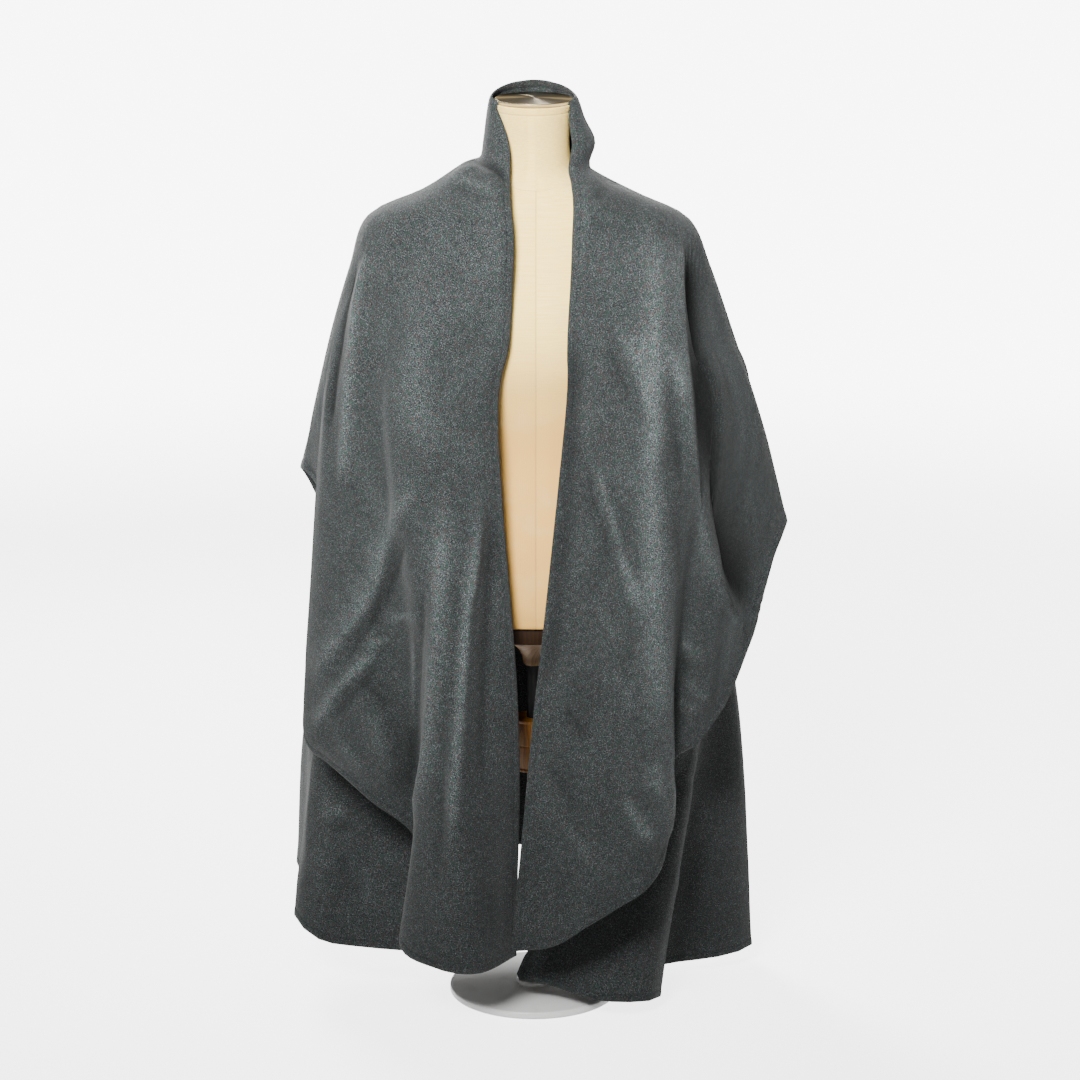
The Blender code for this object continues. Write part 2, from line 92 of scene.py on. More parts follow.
# the dress form
TORSO_BOTTOM = 0.5275
CAP_HEIGHT = 1.200  # middle of the neck cap's top
CAP_RADIUS = 50 * MM
CAP_THICK = 5 * MM
NECK_TILT = 8.5  # degrees that the top of the neck leans forward
FORM_ROUNDNESS = 0.90
FORM_COLUMNS = 150
FORM_STEP = 6 * MM  # between two levels of the cover
SEAM_DEEP, SEAM_WIDE = 0.5 * MM, 0.9 * MM
CAP_SEAM_DROP = 9 * MM  # from the top of the cover to the seam round it
NECK_SEAM_HEIGHT, NECK_SEAM_RISE = 1.0845, 8 * MM  # its height in front, and how far it rises to the sides
NECK_SEAM_HALF = 35 * MM  # half the width of the stretch that rises
FRONT_SEAM_X = 3 * MM
FRONT_SEAM_COLUMNS = (-1.6, -1.0, -0.5, 0.0, 0.5, 1.0, 1.6)  # mm beside the front seam
FRONT_SEAM_SPACE = 2.6  # even columns on each side that make way for those
CAP_SEAM_LEVELS = (-2, -1, -0.4, 0, 0.4, 1, 2)  # mm above the seam round the top
LOW_SHADE_BAND = (0.75, 0.95)  # painted shade: the cover is made darker and warmer below these heights
NECK_SEAM_BAND, NECK_SEAM_STEP = (1.080, 1.098), 1.2 * MM  # where the levels are closest, and how close

# the stand
BOARD_THICK, BOARD_INSET = 22 * MM, 6 * MM
BOSS_RADIUS, BOSS_HEIGHT, BOSS_SOCKET = 58 * MM, 48 * MM, 14 * MM
HUB_RADIUS, HUB_LOW, HUB_HIGH = 30 * MM, 0.314, 0.3845
POST_RADIUS = 9.5 * MM
BASE_RADIUS, BASE_THICK = 115 * MM, 10 * MM
FOOT_RADIUS, FOOT_HEIGHT = 24 * MM, 14 * MM
TURN_STEPS = 96
SWEEP_STEPS = 22  # levels of the boss where it sweeps in

# Each wood: its paler and darker grain, how far apart its rings are, and how much its polish reflects.
Wood = namedtuple("Wood", "name pale dark ring shine")
WOODS = [
    Wood("dark_wood", (0.018, 0.007, 0.0014, 1.0), (0.008, 0.003, 0.0006, 1.0), 7 * MM, 0.08),
    Wood("pale_wood", (0.470, 0.270, 0.110, 1.0), (0.320, 0.165, 0.055, 1.0), 5 * MM, 0.30),
    Wood("brown_wood", (0.400, 0.160, 0.022, 1.0), (0.230, 0.088, 0.011, 1.0), 4 * MM, 0.25),
]

# Each paint: how much it reflects and how worn it is, its clean and worn colour and roughness, and the
# width, depth and strength of its peel, in mm.
Paint = namedtuple("Paint", "name shine wear clean worn rough peel deep strength")
PAINTS = [
    Paint(
        "black_steel", 0.2, 0.6, (0.006, 0.006, 0.006, 1.0), (0.024, 0.023, 0.021, 1.0),
        (0.50, 0.75), 0.8, 0.05, 0.5,
    ),
    Paint(
        "pale_paint", 0.5, 0.35, (0.820, 0.815, 0.800, 1.0), (0.600, 0.590, 0.560, 1.0),
        (0.30, 0.60), 1.5, 0.06, 0.4,
    ),
]
WOOL_COLOURS = {
    "Dark": (0.0020, 0.0027, 0.0032, 1.0),
    "Middle": (0.0165, 0.0188, 0.0200, 1.0),
    "Pale": (0.073, 0.083, 0.081, 1.0),
    "Warm": (0.029, 0.019, 0.018, 1.0),
    "Green": (0.012, 0.024, 0.019, 1.0),
}
THREAD_COLOURS = {
    "Dark": (0.006, 0.007, 0.009, 1.0),
    "Middle": (0.016, 0.020, 0.024, 1.0),
    "Pale": (0.045, 0.052, 0.058, 1.0),
    "Warm": (0.024, 0.020, 0.018, 1.0),
    "Green": (0.015, 0.024, 0.022, 1.0),
}
WHITE = (1.0, 1.0, 1.0, 1.0)

# the floor, the lights and the camera
FLOOR_HALF, FLOOR_NEAR, FLOOR_FAR = 40.0, 1.5, 7.0  # it fades out between the last two, from the middle
FLOOR_GLOW = 3.5
ROOM_LIGHT, BACKGROUND_LIGHT = 0.36, 8.0
# Each light: where it is, what it points at, how wide it is, its power, and how wide its beam is in degrees.
Lights = namedtuple("Lights", "name place aim size power beam")
LIGHTS = [
    Lights("key", (-0.60, -2.35, 2.20), (0.0, 0.0, 1.09), 1.0, 31, 50),
    Lights("back", (-1.2, 2.6, 2.4), (0.0, 0.0, 0.7), 1.2, 160, 150),
    Lights("side", (1.7, 2.8, 1.8), (0.0, 0.0, 0.7), 1.2, 22, 150),
]
CAMERA_PLACE, CAMERA_DOWN, CAMERA_LENS = (0.008, -3.2, 1.25), 11.0508, 82.25

# ---------------------------------------------------------------- shapes
# One row for each level of the form: height, half width, depth in front of and behind x = 0, lean in degrees.
Section = namedtuple("Section", "z half front back lean")
FORM_SECTIONS = [Section(*row) for row in (
    (TORSO_BOTTOM, 0.158, 0.104, 0.100, 0),
    (0.560, 0.164, 0.107, 0.106, 0),
    (0.620, 0.160, 0.103, 0.106, 0),
    (0.690, 0.140, 0.094, 0.090, 0),
    (0.750, 0.127, 0.090, 0.080, 0),
    (0.810, 0.134, 0.099, 0.082, 0),
    (0.870, 0.150, 0.114, 0.088, 0),
    (0.930, 0.168, 0.112, 0.094, 0),
    (0.980, 0.186, 0.098, 0.096, 0),
    (1.010, 0.194, 0.086, 0.094, 0),
    (1.032, 0.195, 0.077, 0.090, 0),
    (1.047, 0.187, 0.070, 0.085, 0),
    (1.059, 0.172, 0.064, 0.081, 0),
    (1.070, 0.150, 0.059, 0.077, 0),
    (1.080, 0.122, 0.054, 0.073, 0),
    (1.090, 0.092, 0.049, 0.069, 0),
    (1.100, 0.065, 0.044, 0.064, 0),
    (1.112, 0.051, 0.041, 0.058, 2),
    (1.140, 0.0465, 0.041, 0.050, 5),
    (1.170, 0.0475, 0.045, 0.048, 7),
    (CAP_HEIGHT - CAP_THICK - SEAT_GAP, CAP_RADIUS, 0.050, 0.050, NECK_TILT),
)]

# One row for each ring of the cape above the elbow. Heights at the front, the two sides and the back,
# half widths left and right, depths in front and behind, how square the ring is, and where the two
# front edges lie along it, in degrees from the middle of the back.
Ring = namedtuple(
    "Ring", "name z_front z_left z_right z_back left right front back round edge_left edge_right"
)
RINGS = [Ring(*row) for row in (
    ("neck_edge", 1.200, 1.203, 1.203, 1.223, 0.0570, 0.0560, 0.054, 0.0575, 1.0, 114, 118),
    ("roll_top", 1.172, 1.176, 1.174, 1.194, 0.0605, 0.0650, 0.055, 0.0640, 1.0, 135, 130),
    ("roll", 1.140, 1.148, 1.146, 1.158, 0.0640, 0.0785, 0.057, 0.0700, 1.0, 148, 138),
    ("neck_notch", 1.112, 1.125, 1.116, 1.132, 0.0690, 0.0705, 0.064, 0.0740, 1.0, 152, 137),
    ("neck_root", 1.098, 1.118, 1.100, 1.119, 0.0900, 0.0870, 0.072, 0.0860, 1.0, 160, 145),
    ("yoke", 1.070, 1.086, 1.076, 1.085, 0.1400, 0.1400, 0.088, 0.1000, 0.9, 170, 161),
    ("shoulder", 1.037, 1.052, 1.047, 1.050, 0.2125, 0.1995, 0.104, 0.1100, 0.8, 176, 170),
    ("arm", 0.985, 0.987, 0.986, 0.986, 0.2370, 0.2280, 0.121, 0.1260, 0.8, 176.4, 172),
    ("chest", 0.900, 0.900, 0.900, 0.900, 0.2610, 0.2570, 0.138, 0.1420, 0.8, 176, 174),
    ("elbow", 0.790, 0.790, 0.790, 0.790, 0.2830, 0.2930, 0.150, 0.1620, 0.8, 173.5, 175.6),
)]

# One row for each fold, valley and edge of the cape, from the left front edge round the back to the
# right front edge. around: its place on the rings, from -1 at the left front edge to 0 at the middle
# of the back and 1 at the right front edge. chest and elbow: how far it stands out of those rings.
# thigh: its place at THIGH_HEIGHT, where the cloth reaches that low. hem: where it ends. These are in mm.
Fold = namedtuple("Fold", "name around chest elbow thigh hem")
def in_metres(sizes):
    """The sizes, which are in mm, or in groups of them, in metres."""
    return [in_metres(size) if isinstance(size, tuple) else size and size / 1000 for size in sizes]


FOLDS = [Fold(name, around, *in_metres(sizes)) for name, around, *sizes in (
    ("left_edge", -1, -10, -26, (-20, -140), (-22, -140, 99)),
    ("left_ridge", -0.965, 0, -6, (-90, -186), (-74, -200, 98)),
    ("left_flank", -0.9, 2, 4, (-112, -186), (-124, -192, 102)),
    ("left_turn", -0.85, 2, 3, (-134, -166), (-173, -152, 117)),
    ("left_valley", -0.805, -2, -10, (-149, -132), (-141, -112, 205)),
    ("left_side_1", -0.765, 0, -4, (-170, -128), (-160, -120, 262)),
    ("left_side_2", -0.725, 1, 3, (-205, -138), (-207, -130, 303)),
    ("left_side_3", -0.69, 1, 5, (-242, -128), (-236, -120, 326)),
    ("left_side_4", -0.66, 2, 6, (-274, -108), (-270, -100, 350)),
    ("left_side_5", -0.63, 2, 2, (-298.5, -82), (-297, -80, 368)),
    ("left_open_1", -0.6, -1, -4, None, (-282, -52, 530)),
    ("left_open_2", -0.57, 0, -2, None, (-277, -36, 688)),
    ("left_open_3", -0.55, 1, 2, None, (-288, -18, 709)),
    ("left_tip", -0.53, 2, 6, None, (-306.6, 0, 722.8)),
    ("left_back_1", -0.512, 0, 0, None, (-288, 4, 690)),
    ("left_back_2", -0.492, -1, -6, None, (-268, -6, 600)),
    ("left_back_3", -0.472, -2, -8, None, (-234, -22, 460)),
    ("left_back_4", -0.45, -3, -6, (-224, -6), (-170, -52, 300)),
    ("left_back_5", -0.425, -3, -6, (-236, 2), (-92, -62, 160)),
    ("left_corner", -0.4, -3, -6, (-247, 10), (-50, -58, 70)),
    ("left_lap_1", -0.37, -2, -5, (-259, 19), (-160, -46, 70)),
    ("left_lap_2", -0.34, -2, -4, (-271, 29), (-245, -34, 73)),
    ("left_lap_3", -0.31, -1, -2, (-284, 42), (-290, -20, 76)),
    ("left_swing", -0.28, 0, 0, (-297, 60), (-328, 20, 96)),
    ("left_hip_1", -0.25, 0, 2, (-298, 94), (-318, 82, 120)),
    ("left_hip_2", -0.215, 0, 4, (-307, 128), (-336, 150, 142)),
    ("left_back_6", -0.165, 0, 6, (-262, 170), (-278, 196, 144)),
    ("left_back_7", -0.115, 0, 0, (-180, 180), (-186, 192, 140)),
    ("left_back_8", -0.06, 2, 4, (-92, 198), (-94, 212, 139)),
    ("back_middle", 0, 0, 0, (0, 192), (0, 200, 139)),
    ("right_back_7", 0.055, 2, 4, (86, 198), (92, 212, 134)),
    ("right_back_6", 0.105, 0, 0, (168, 178), (178, 188, 112)),
    ("right_back_5", 0.15, 0, 4, (238, 160), (252, 172, 70)),
    ("right_hip", 0.19, 0, 3, (272, 125), (292, 128, 40)),
    ("right_swing", 0.22, 0, 0, (276, 98), (303, 80, 32)),
    ("right_lap_1", 0.25, -1, -3, (262, 78), (252, 50, 26)),
    ("right_lap_2", 0.28, -1, -4, (246, 58), (196, 36, 23)),
    ("right_lap_3", 0.305, -1, -4, (235, 40), (156, 4, 22)),
    ("right_pleat_1", 0.33, -1, -4, (231, 24), (170, -86, 20)),
    ("right_pleat_2", 0.352, -1, -4, (231, 12), (123, -124, 28)),
    ("right_pleat_3", 0.372, -1, -4, (230, 1), (74, -116, 29)),
    ("right_pleat_4", 0.392, -1, -4, (227, -10), (48, -106, 36)),
    ("right_pleat_5", 0.412, -1, -4, (223, -20), (12, -92, 42)),
    ("right_corner", 0.432, -3, -8, (218, -30), (-24, -80, 43)),
    ("right_back_4", 0.452, -4, -10, (212, -42), (44, -90, 150)),
    ("right_back_3", 0.472, -4, -10, (206, -56), (128, -95, 290)),
    ("right_back_2", 0.494, -4, -9, None, (222, -78, 440)),
    ("right_back_1", 0.512, -2, -4, None, (298, -30, 570)),
    ("right_tip_2", 0.524, 1, 2, None, (327, 10, 646)),
    ("right_tip", 0.538, 1, 3, None, (335, 0, 654)),
    ("right_open_3", 0.556, -1, 2, None, (325, -22, 632)),
    ("right_open_2", 0.58, -3, 0, None, (316, -30, 610)),
    ("right_open_1", 0.612, -8, -10, None, (301, -50, 553)),
    ("right_side_6", 0.65, -10, -16, None, (276, -78, 490)),
    ("right_side_5", 0.69, -4, -8, None, (240, -112, 417)),
    ("right_side_4", 0.72, 0, 2, (222, -124), (204, -128, 384)),
    ("right_side_3", 0.745, 2, 4, (196, -136), (176, -132, 360)),
    ("right_valley", 0.775, 0, 0, (170, -142), (150, -140, 312)),
    ("right_turn", 0.81, 3, 5, (164, -166), (166, -180, 246)),
    ("right_ridge", 0.84, 4, 8, (150, -184), (144, -200, 212)),
    ("right_flank", 0.88, 1, 3, (112, -184), (110, -202, 188)),
    ("right_plain", 0.935, 0, 0, (66, -180), (70, -202, 162)),
    ("right_fall", 0.975, -2, -4, (24, -172), (22, -188, 128)),
    ("right_edge", 1, -6, -16, (-1, -163), (-30, -174, 117)),
)]
# The creases of the hanging cloth, by the stretch of cloth that has them, which reaches from start to end
# round the cape. seen: the two axes that the creases' points are given along. width and height: in mm, from
# a crease's middle to where it has all but gone, and out of the cloth, negative for a trough. sharp: 2 for a
# soft wave, and less for a pressed fold. lean: how much narrower its flank on the right is, going down.
# fade: the part of its length over which each end dies away. path: its points in mm.
# How steep each crease is also paints the wool: a painted highlight along a fold and painted shade in a
# trough.
FROM_FRONT, FROM_SIDE = [0, 2], [1, 2]
Crease = namedtuple("Crease", "name width height sharp lean fade path")
Panel = namedtuple("Panel", "name start end seen creases")
PANELS = [Panel(*row) for row in (
    ("left_front", -1.0, -0.53, FROM_FRONT, [
        ("left_press_a", 9, 9.3, 1.3, 0.3, 0.22, [(-59, 723), (-67, 687), (-71, 655), (-75, 616), (-84, 565),
            (-88, 509), (-92, 448), (-96, 387), (-101, 306), (-105, 238)]),
        ("left_press_b", 16, 11.6, 1.4, -0.2, 0.25, [(-109, 746), (-113, 706), (-116, 655), (-118, 596),
            (-121, 548), (-125, 488), (-129, 428), (-135, 367), (-142, 305), (-146, 250), (-152, 195)]),
        ("left_valley_ab", 10, -4.2, 1.8, 0, 0.25, [(-90, 656), (-99, 519), (-110, 417), (-117, 299),
            (-127, 178)]),
        ("left_valley_b", 10, -4.7, 1.6, 0, 0.2, [(-136, 631), (-142, 527), (-154, 401), (-160, 278)]),
        ("left_upright", 5, 3.7, 1.3, 0, 0.25, [(-151, 540), (-152, 501), (-154, 448), (-154, 390)]),
        ("left_drag_high", 17, 10.8, 1.3, 0.55, 0.18, [(-142, 745), (-157, 701), (-172, 664), (-189, 627),
            (-200, 590), (-219, 552), (-245, 516), (-266, 484), (-286, 445)]),
        ("left_drag_under", 8, -3.9, 1.5, 0, 0.25, [(-141, 702), (-155, 662), (-171, 626), (-182, 589),
            (-201, 552), (-226, 513), (-248, 479), (-266, 447)]),
        ("left_drag_low", 8, 6.8, 1.3, 0.4, 0.2, [(-191, 512), (-215, 489), (-243, 461), (-270, 420),
            (-288, 387)]),
        ("left_drag_low_under", 7, -3.4, 1.5, 0, 0.25, [(-192, 497), (-212, 472), (-238, 443), (-263, 405)]),
        ("left_nick_high", 5, 4, 1.3, 0, 0.3, [(-192, 542), (-166, 551), (-137, 558)]),
        ("left_nick_low", 5, 3.7, 1.3, 0, 0.3, [(-222, 513), (-199, 518), (-178, 518)]),
        ("left_nick_mid", 6, -2.6, 1.5, 0, 0.35, [(-226, 470), (-200, 450), (-182, 420)]),
        ("left_arm_ridge", 9, 6.5, 1.3, -0.3, 0.15, [(-206, 1023), (-218, 979), (-227, 926), (-234, 856),
            (-240, 787), (-246, 700)]),
        ("left_arm_trough", 10, -6.5, 1.6, 0, 0.2, [(-220, 1010), (-234, 965), (-246, 900), (-256, 830),
            (-262, 770)]),
        ("left_arm_hollow", 15, -3.9, 2, 0, 0.3, [(-192, 1010), (-202, 950), (-208, 880), (-205, 800)]),
        ("left_chest_swell", 30, 10.8, 1.8, 0, 0.4, [(-158, 953), (-150, 880), (-141, 806), (-132, 720)]),
        ("left_edge_hollow", 18, -3.2, 2, 0, 0.3, [(-88, 940), (-80, 850), (-76, 760)]),
        ("left_edge_roll", 8, 1.7, 1.4, 0, 0.25, [(-61, 1130), (-55, 1090), (-47, 1030), (-43, 954)]),
        ("left_notch_hollow", 7, -4.4, 1.6, 0, 0.3, [(-84, 1125), (-63, 1117), (-44, 1108), (-32, 1090)]),
        ("left_notch_hump", 7, 3.1, 1.5, 0, 0.35, [(-106, 1102), (-88, 1110), (-74, 1108)]),
        ("left_yoke_fold", 6, 3.1, 1.3, 0, 0.3, [(-119, 1102), (-92, 1099), (-65, 1092), (-44, 1080)]),
        ("left_yoke_drag", 8, -3.4, 1.7, 0, 0.3, [(-107, 1089), (-80, 1082), (-53, 1072)]),
        ("left_low_swell", 20, 6.2, 2, 0, 0.3, [(-205, 440), (-195, 370), (-188, 310)]),
        ("left_hem_drag", 9, 3.9, 1.5, 0, 0.3, [(-262, 392), (-238, 372), (-212, 345)]),
        ("left_front_hollow", 11, -5.2, 1.8, 0, 0.2, [(-49, 708), (-54, 632), (-59, 554), (-63, 476),
            (-65, 398), (-64, 318)]),
    ]),
    ("right_front", 0.538, 1.0, FROM_FRONT, [
        ("right_press_a", 23, 15.5, 1.5, 0, 0.1, [(155, 1061), (153, 1006), (152, 957), (151, 908),
            (151, 858), (151, 808), (150, 758), (149, 707), (150, 656), (152, 604), (155, 552), (158, 500),
            (160, 448), (162, 368), (162, 301), (160, 234)]),
        ("right_press_b", 6, 5.6, 1.2, 0, 0.2, [(79, 769), (84, 734), (89, 711), (98, 685), (106, 657),
            (111, 632), (124, 596), (139, 556)]),
        ("right_press_b_under", 8, -3.4, 1.6, 0, 0.25, [(93, 746), (99, 718), (109, 693), (117, 665),
            (123, 637), (135, 606)]),
        ("right_press_b_left", 8, -2.6, 1.6, 0, 0.25, [(68, 761), (72, 726), (79, 698), (88, 667), (96, 637),
            (106, 598)]),
        ("right_high_fold", 12, 5.9, 1.3, -0.5, 0.3, [(95, 936), (107, 911), (118, 889), (131, 861),
            (142, 831), (149, 798)]),
        ("right_high_under", 8, -3.4, 1.5, 0, 0.25, [(89, 911), (102, 879), (115, 847), (127, 814),
            (134, 784)]),
        ("right_front_valley", 42, -6.5, 2, 0, 0.2, [(78, 960), (80, 800), (78, 600), (74, 450), (62, 300)]),
        ("right_low_fold", 7, 4, 1.4, 0, 0.3, [(78, 585), (94, 549), (108, 518)]),
        ("right_low_drag", 8, 3.4, 1.5, 0, 0.3, [(92, 500), (112, 470), (128, 430)]),
        ("right_corner_diag", 7, 6.2, 1.3, 0, 0.25, [(112, 335), (130, 304), (153, 268)]),
        ("right_fall", 9, 7, 1.5, 0.3, 0.25, [(150, 385), (154, 330), (158, 262)]),
        ("right_arm_edge", 12, 7.2, 1.2, 0.4, 0.08, [(182, 1040), (185, 1003), (188, 943), (192, 881),
            (197, 818), (203, 754), (211, 696), (225, 630), (243, 574), (268, 532), (291, 497)]),
        ("right_arm_trough", 25, -22.1, 1.8, -0.3, 0.13, [(197, 1034), (203, 992), (207, 943), (213, 892),
            (219, 829), (228, 765), (238, 700), (253, 633), (276, 569), (301, 525)]),
        ("right_arm_deep", 22, -5.2, 1.8, 0, 0.25, [(259, 756), (270, 697), (281, 637), (295, 582)]),
        ("right_arm_swell", 20, 3.2, 1.8, 0, 0.3, [(236, 905), (258, 830), (278, 760), (298, 690)]),
        ("right_crumple_a", 6, 3.4, 1.3, 0, 0.3, [(182, 530), (197, 510), (210, 501), (218, 484)]),
        ("right_crumple_b", 6, 3.7, 1.3, 0, 0.3, [(195, 486), (203, 462), (215, 446), (238, 442)]),
        ("right_crumple_c", 7, -3.9, 1.5, 0, 0.3, [(186, 505), (197, 482), (206, 466)]),
        ("right_crumple_d", 6, 3.7, 1.3, 0, 0.3, [(177, 448), (201, 430), (222, 428)]),
        ("right_bulge", 13, 3.9, 1.8, 0, 0.3, [(242, 545), (252, 506), (250, 476), (236, 456)]),
        ("right_slim_fold", 6, 4, 1.3, 0, 0.3, [(159, 895), (169, 886), (178, 872), (184, 851), (189, 826)]),
        ("right_slim_trough", 9, -4.4, 1.6, 0, 0.25, [(164, 867), (170, 832), (177, 794), (184, 753),
            (191, 704)]),
        ("right_side_drag", 12, -4.5, 1.8, 0, 0.3, [(176, 820), (178, 700), (186, 590)]),
        ("right_edge_roll", 8, 2, 1.4, 0, 0.25, [(72, 1118), (66, 1075), (62, 1027), (57, 950)]),
        ("right_notch_dark", 8, -2.6, 1.6, 0, 0.3, [(78, 1098), (92, 1097), (112, 1088)]),
        ("right_yoke_drag", 7, -3.4, 1.7, 0, 0.3, [(68, 1072), (85, 1085), (108, 1096)]),
        ("right_chest_swell", 18, 4.7, 2, 0, 0.3, [(88, 905), (83, 831), (78, 756)]),
        ("right_nick_high", 8, -3.1, 1.5, 0, 0.3, [(33, 452), (52, 425), (71, 396)]),
        ("right_nick_low", 8, -3.1, 1.5, 0, 0.3, [(14, 374), (40, 337), (59, 293)]),
        ("right_nick_end", 7, 3.4, 1.4, 0, 0.3, [(30, 300), (58, 270), (78, 230)]),
        ("right_edge_hollow", 16, -6.5, 1.8, 0, 0.2, [(50, 958), (48, 884), (45, 809), (42, 734), (36, 657),
            (29, 580), (22, 503), (18, 424)]),
    ]),
    ("left_lap", -0.42, -0.28, FROM_FRONT, [
        ("left_lap_nick", 6, 3.1, 1.4, 0, 0.35, [(-283, 258), (-262, 251), (-241, 236)]),
        ("left_lap_crease", 7, -3.4, 1.5, 0, 0.35, [(-287, 236), (-248, 232), (-207, 244)]),
        ("left_lap_outer", 14, 5.2, 1.6, 0, 0.25, [(-270, 340), (-285, 200), (-300, 110)]),
        ("left_lap_inner", 12, 4.2, 1.6, 0, 0.25, [(-215, 260), (-225, 150), (-235, 85)]),
        ("left_lap_hollow", 13, -3.9, 1.8, 0, 0.3, [(-250, 230), (-262, 150), (-270, 90)]),
    ]),
    ("right_lap", 0.22, 0.46, FROM_FRONT, [
        ("right_lap_outer", 14, 5.2, 1.6, 0, 0.25, [(220, 300), (235, 180), (245, 60)]),
        ("right_lap_inner", 11, 3.9, 1.6, 0, 0.25, [(180, 240), (186, 140), (190, 50)]),
        ("right_lap_crease", 8, -3.1, 1.5, 0, 0.3, [(170, 330), (200, 300), (236, 290)]),
    ]),
    ("back", -0.28, 0.22, FROM_FRONT, [
        ("back_outer_left", 22, 7.8, 1.5, 0, 0.2, [(-160, 960), (-172, 760), (-200, 520), (-230, 260)]),
        ("back_inner_left", 20, 7.2, 1.4, 0.2, 0.2, [(-70, 930), (-78, 700), (-88, 430), (-92, 190)]),
        ("back_middle_fold", 18, 6.5, 1.5, 0, 0.25, [(30, 900), (24, 640), (16, 400), (20, 180)]),
        ("back_inner_right", 22, 7.8, 1.4, -0.2, 0.2, [(120, 950), (130, 730), (150, 480), (182, 170)]),
        ("back_outer_right", 16, 6.5, 1.5, 0, 0.25, [(190, 900), (210, 680), (240, 430), (262, 140)]),
        ("back_furrow_left", 12, -5.2, 1.8, 0, 0.3, [(-115, 860), (-125, 600), (-140, 330)]),
        ("back_furrow_right", 12, -5.2, 1.8, 0, 0.3, [(75, 880), (78, 620), (90, 360)]),
        ("back_drag_left", 12, 4.5, 1.5, 0, 0.3, [(-60, 1060), (-130, 985), (-190, 880)]),
        ("back_drag_right", 12, 4.5, 1.5, 0, 0.3, [(56, 1062), (122, 990), (182, 890)]),
        ("back_neck_pleat", 9, 3.1, 1.5, 0, 0.35, [(-20, 1080), (-30, 1020), (-28, 950)]),
        ("back_nick_left", 8, 3.4, 1.3, 0, 0.3, [(-200, 620), (-165, 600), (-140, 560)]),
        ("back_nick_right", 8, 3.6, 1.3, 0, 0.3, [(100, 520), (140, 500), (190, 440)]),
        ("collar_fold_left", 6, -2.1, 1.6, 0, 0.3, [(-16, 1230), (-16, 1205), (-17, 1175)]),
        ("back_nick_low", 7, -3.4, 1.4, 0, 0.3, [(-60, 340), (-30, 320), (2, 330)]),
    ]),
    ("left_front_side", -0.69, -0.53, FROM_SIDE, [
        ("left_front_swag", 12, 3.9, 1.6, 0, 0.3, [(-50, 960), (-40, 840), (-20, 760)]),
    ]),
    ("left_back_side", -0.53, -0.19, FROM_SIDE, [
        ("left_hip_furrow", 16, -10.4, 1.8, 0, 0.2, [(55, 450), (52, 320), (48, 130)]),
        ("left_back_swag", 18, 6.5, 1.5, 0.2, 0.2, [(60, 960), (75, 750), (88, 560), (95, 400)]),
        ("left_back_furrow", 14, -5.2, 1.8, 0, 0.25, [(115, 820), (128, 560), (140, 300)]),
        ("left_back_nick", 9, 3.4, 1.4, 0, 0.3, [(30, 560), (55, 500), (70, 430)]),
        ("left_back_drag", 10, 3.9, 1.5, 0, 0.3, [(20, 930), (60, 860), (90, 760)]),
        ("collar_fold_side", 6, -1.8, 1.6, 0, 0.3, [(22, 1222), (24, 1195), (26, 1170)]),
    ]),
    ("right_front_side", 0.538, 0.68, FROM_SIDE, [
        ("right_front_swag", 12, 1.3, 1.6, 0, 0.3, [(-50, 950), (-40, 820), (-20, 720)]),
    ]),
    ("right_back_side", 0.17, 0.538, FROM_SIDE, [
        ("right_back_swag", 18, 3.2, 1.5, -0.2, 0.2, [(50, 950), (60, 740), (70, 460), (80, 200)]),
        ("right_back_furrow", 14, -5.2, 1.8, 0, 0.25, [(100, 860), (115, 600), (125, 260)]),
        ("right_back_nick", 9, 3.4, 1.4, 0, 0.3, [(20, 640), (40, 560), (62, 520)]),
        ("right_back_drag", 10, 1.3, 1.5, 0, 0.3, [(10, 900), (50, 820), (84, 700)]),
        ("collar_fold_right", 6, -2.1, 1.6, 0, 0.3, [(51, 1226), (53, 1200), (56, 1170)]),
    ]),
)]




# ---------------------------------------------------------------- curves
def spline(points, knots, places):
    """Points at places on a smooth curve that passes the given points at the given knots."""
    points = np.asarray(points, float)
    steps = np.diff(knots)[:, None]
    slopes = np.diff(points, axis=0) / steps
    tangents = np.empty_like(points)
    tangents[0] = slopes[0]
    tangents[-1] = slopes[-1]
    tangents[1:-1] = (slopes[:-1] * steps[1:] + slopes[1:] * steps[:-1]) / (steps[:-1] + steps[1:])
    first = np.clip(np.searchsorted(knots, places, side="right") - 1, 0, len(knots) - 2)
    step = steps[first]
    t = ((places - knots[first])[:, None]) / step
    start, end = points[first], points[first + 1]
    out, into = tangents[first] * step, tangents[first + 1] * step
    cubic = 2 * (start - end) + out + into
    square = 3 * (end - start) - 2 * out - into
    return ((cubic * t + square) * t + out) * t + start


def even_knots(points):
    return np.linspace(0.0, 1.0, len(points))


def lengths_along(points):
    """How far each point is along the line through them."""
    steps = np.linalg.norm(np.diff(points, axis=0), axis=1)
    return np.concatenate([[0.0], np.cumsum(steps)])


def at_lengths(points, wanted):
    """The points of a line at the wanted distances along it."""
    along = lengths_along(points)
    return np.stack([np.interp(wanted, along, points[:, k]) for k in range(points.shape[1])], axis=1)


def smooth_step(low, high, values):
    t = np.clip((values - low) / (high - low), 0.0, 1.0)
    return t * t * (3 - 2 * t)


def ring_point(half, front, back, roundness, degrees):
    """A point of a level ring, at an angle from its back, clockwise seen from above."""
    across = math.sin(math.radians(degrees))
    along = math.cos(math.radians(degrees))
    depth = back if along > 0 else front
    x = half * math.copysign(abs(across) ** roundness, across)
    y = depth * math.copysign(abs(along) ** roundness, along)
    return x, y


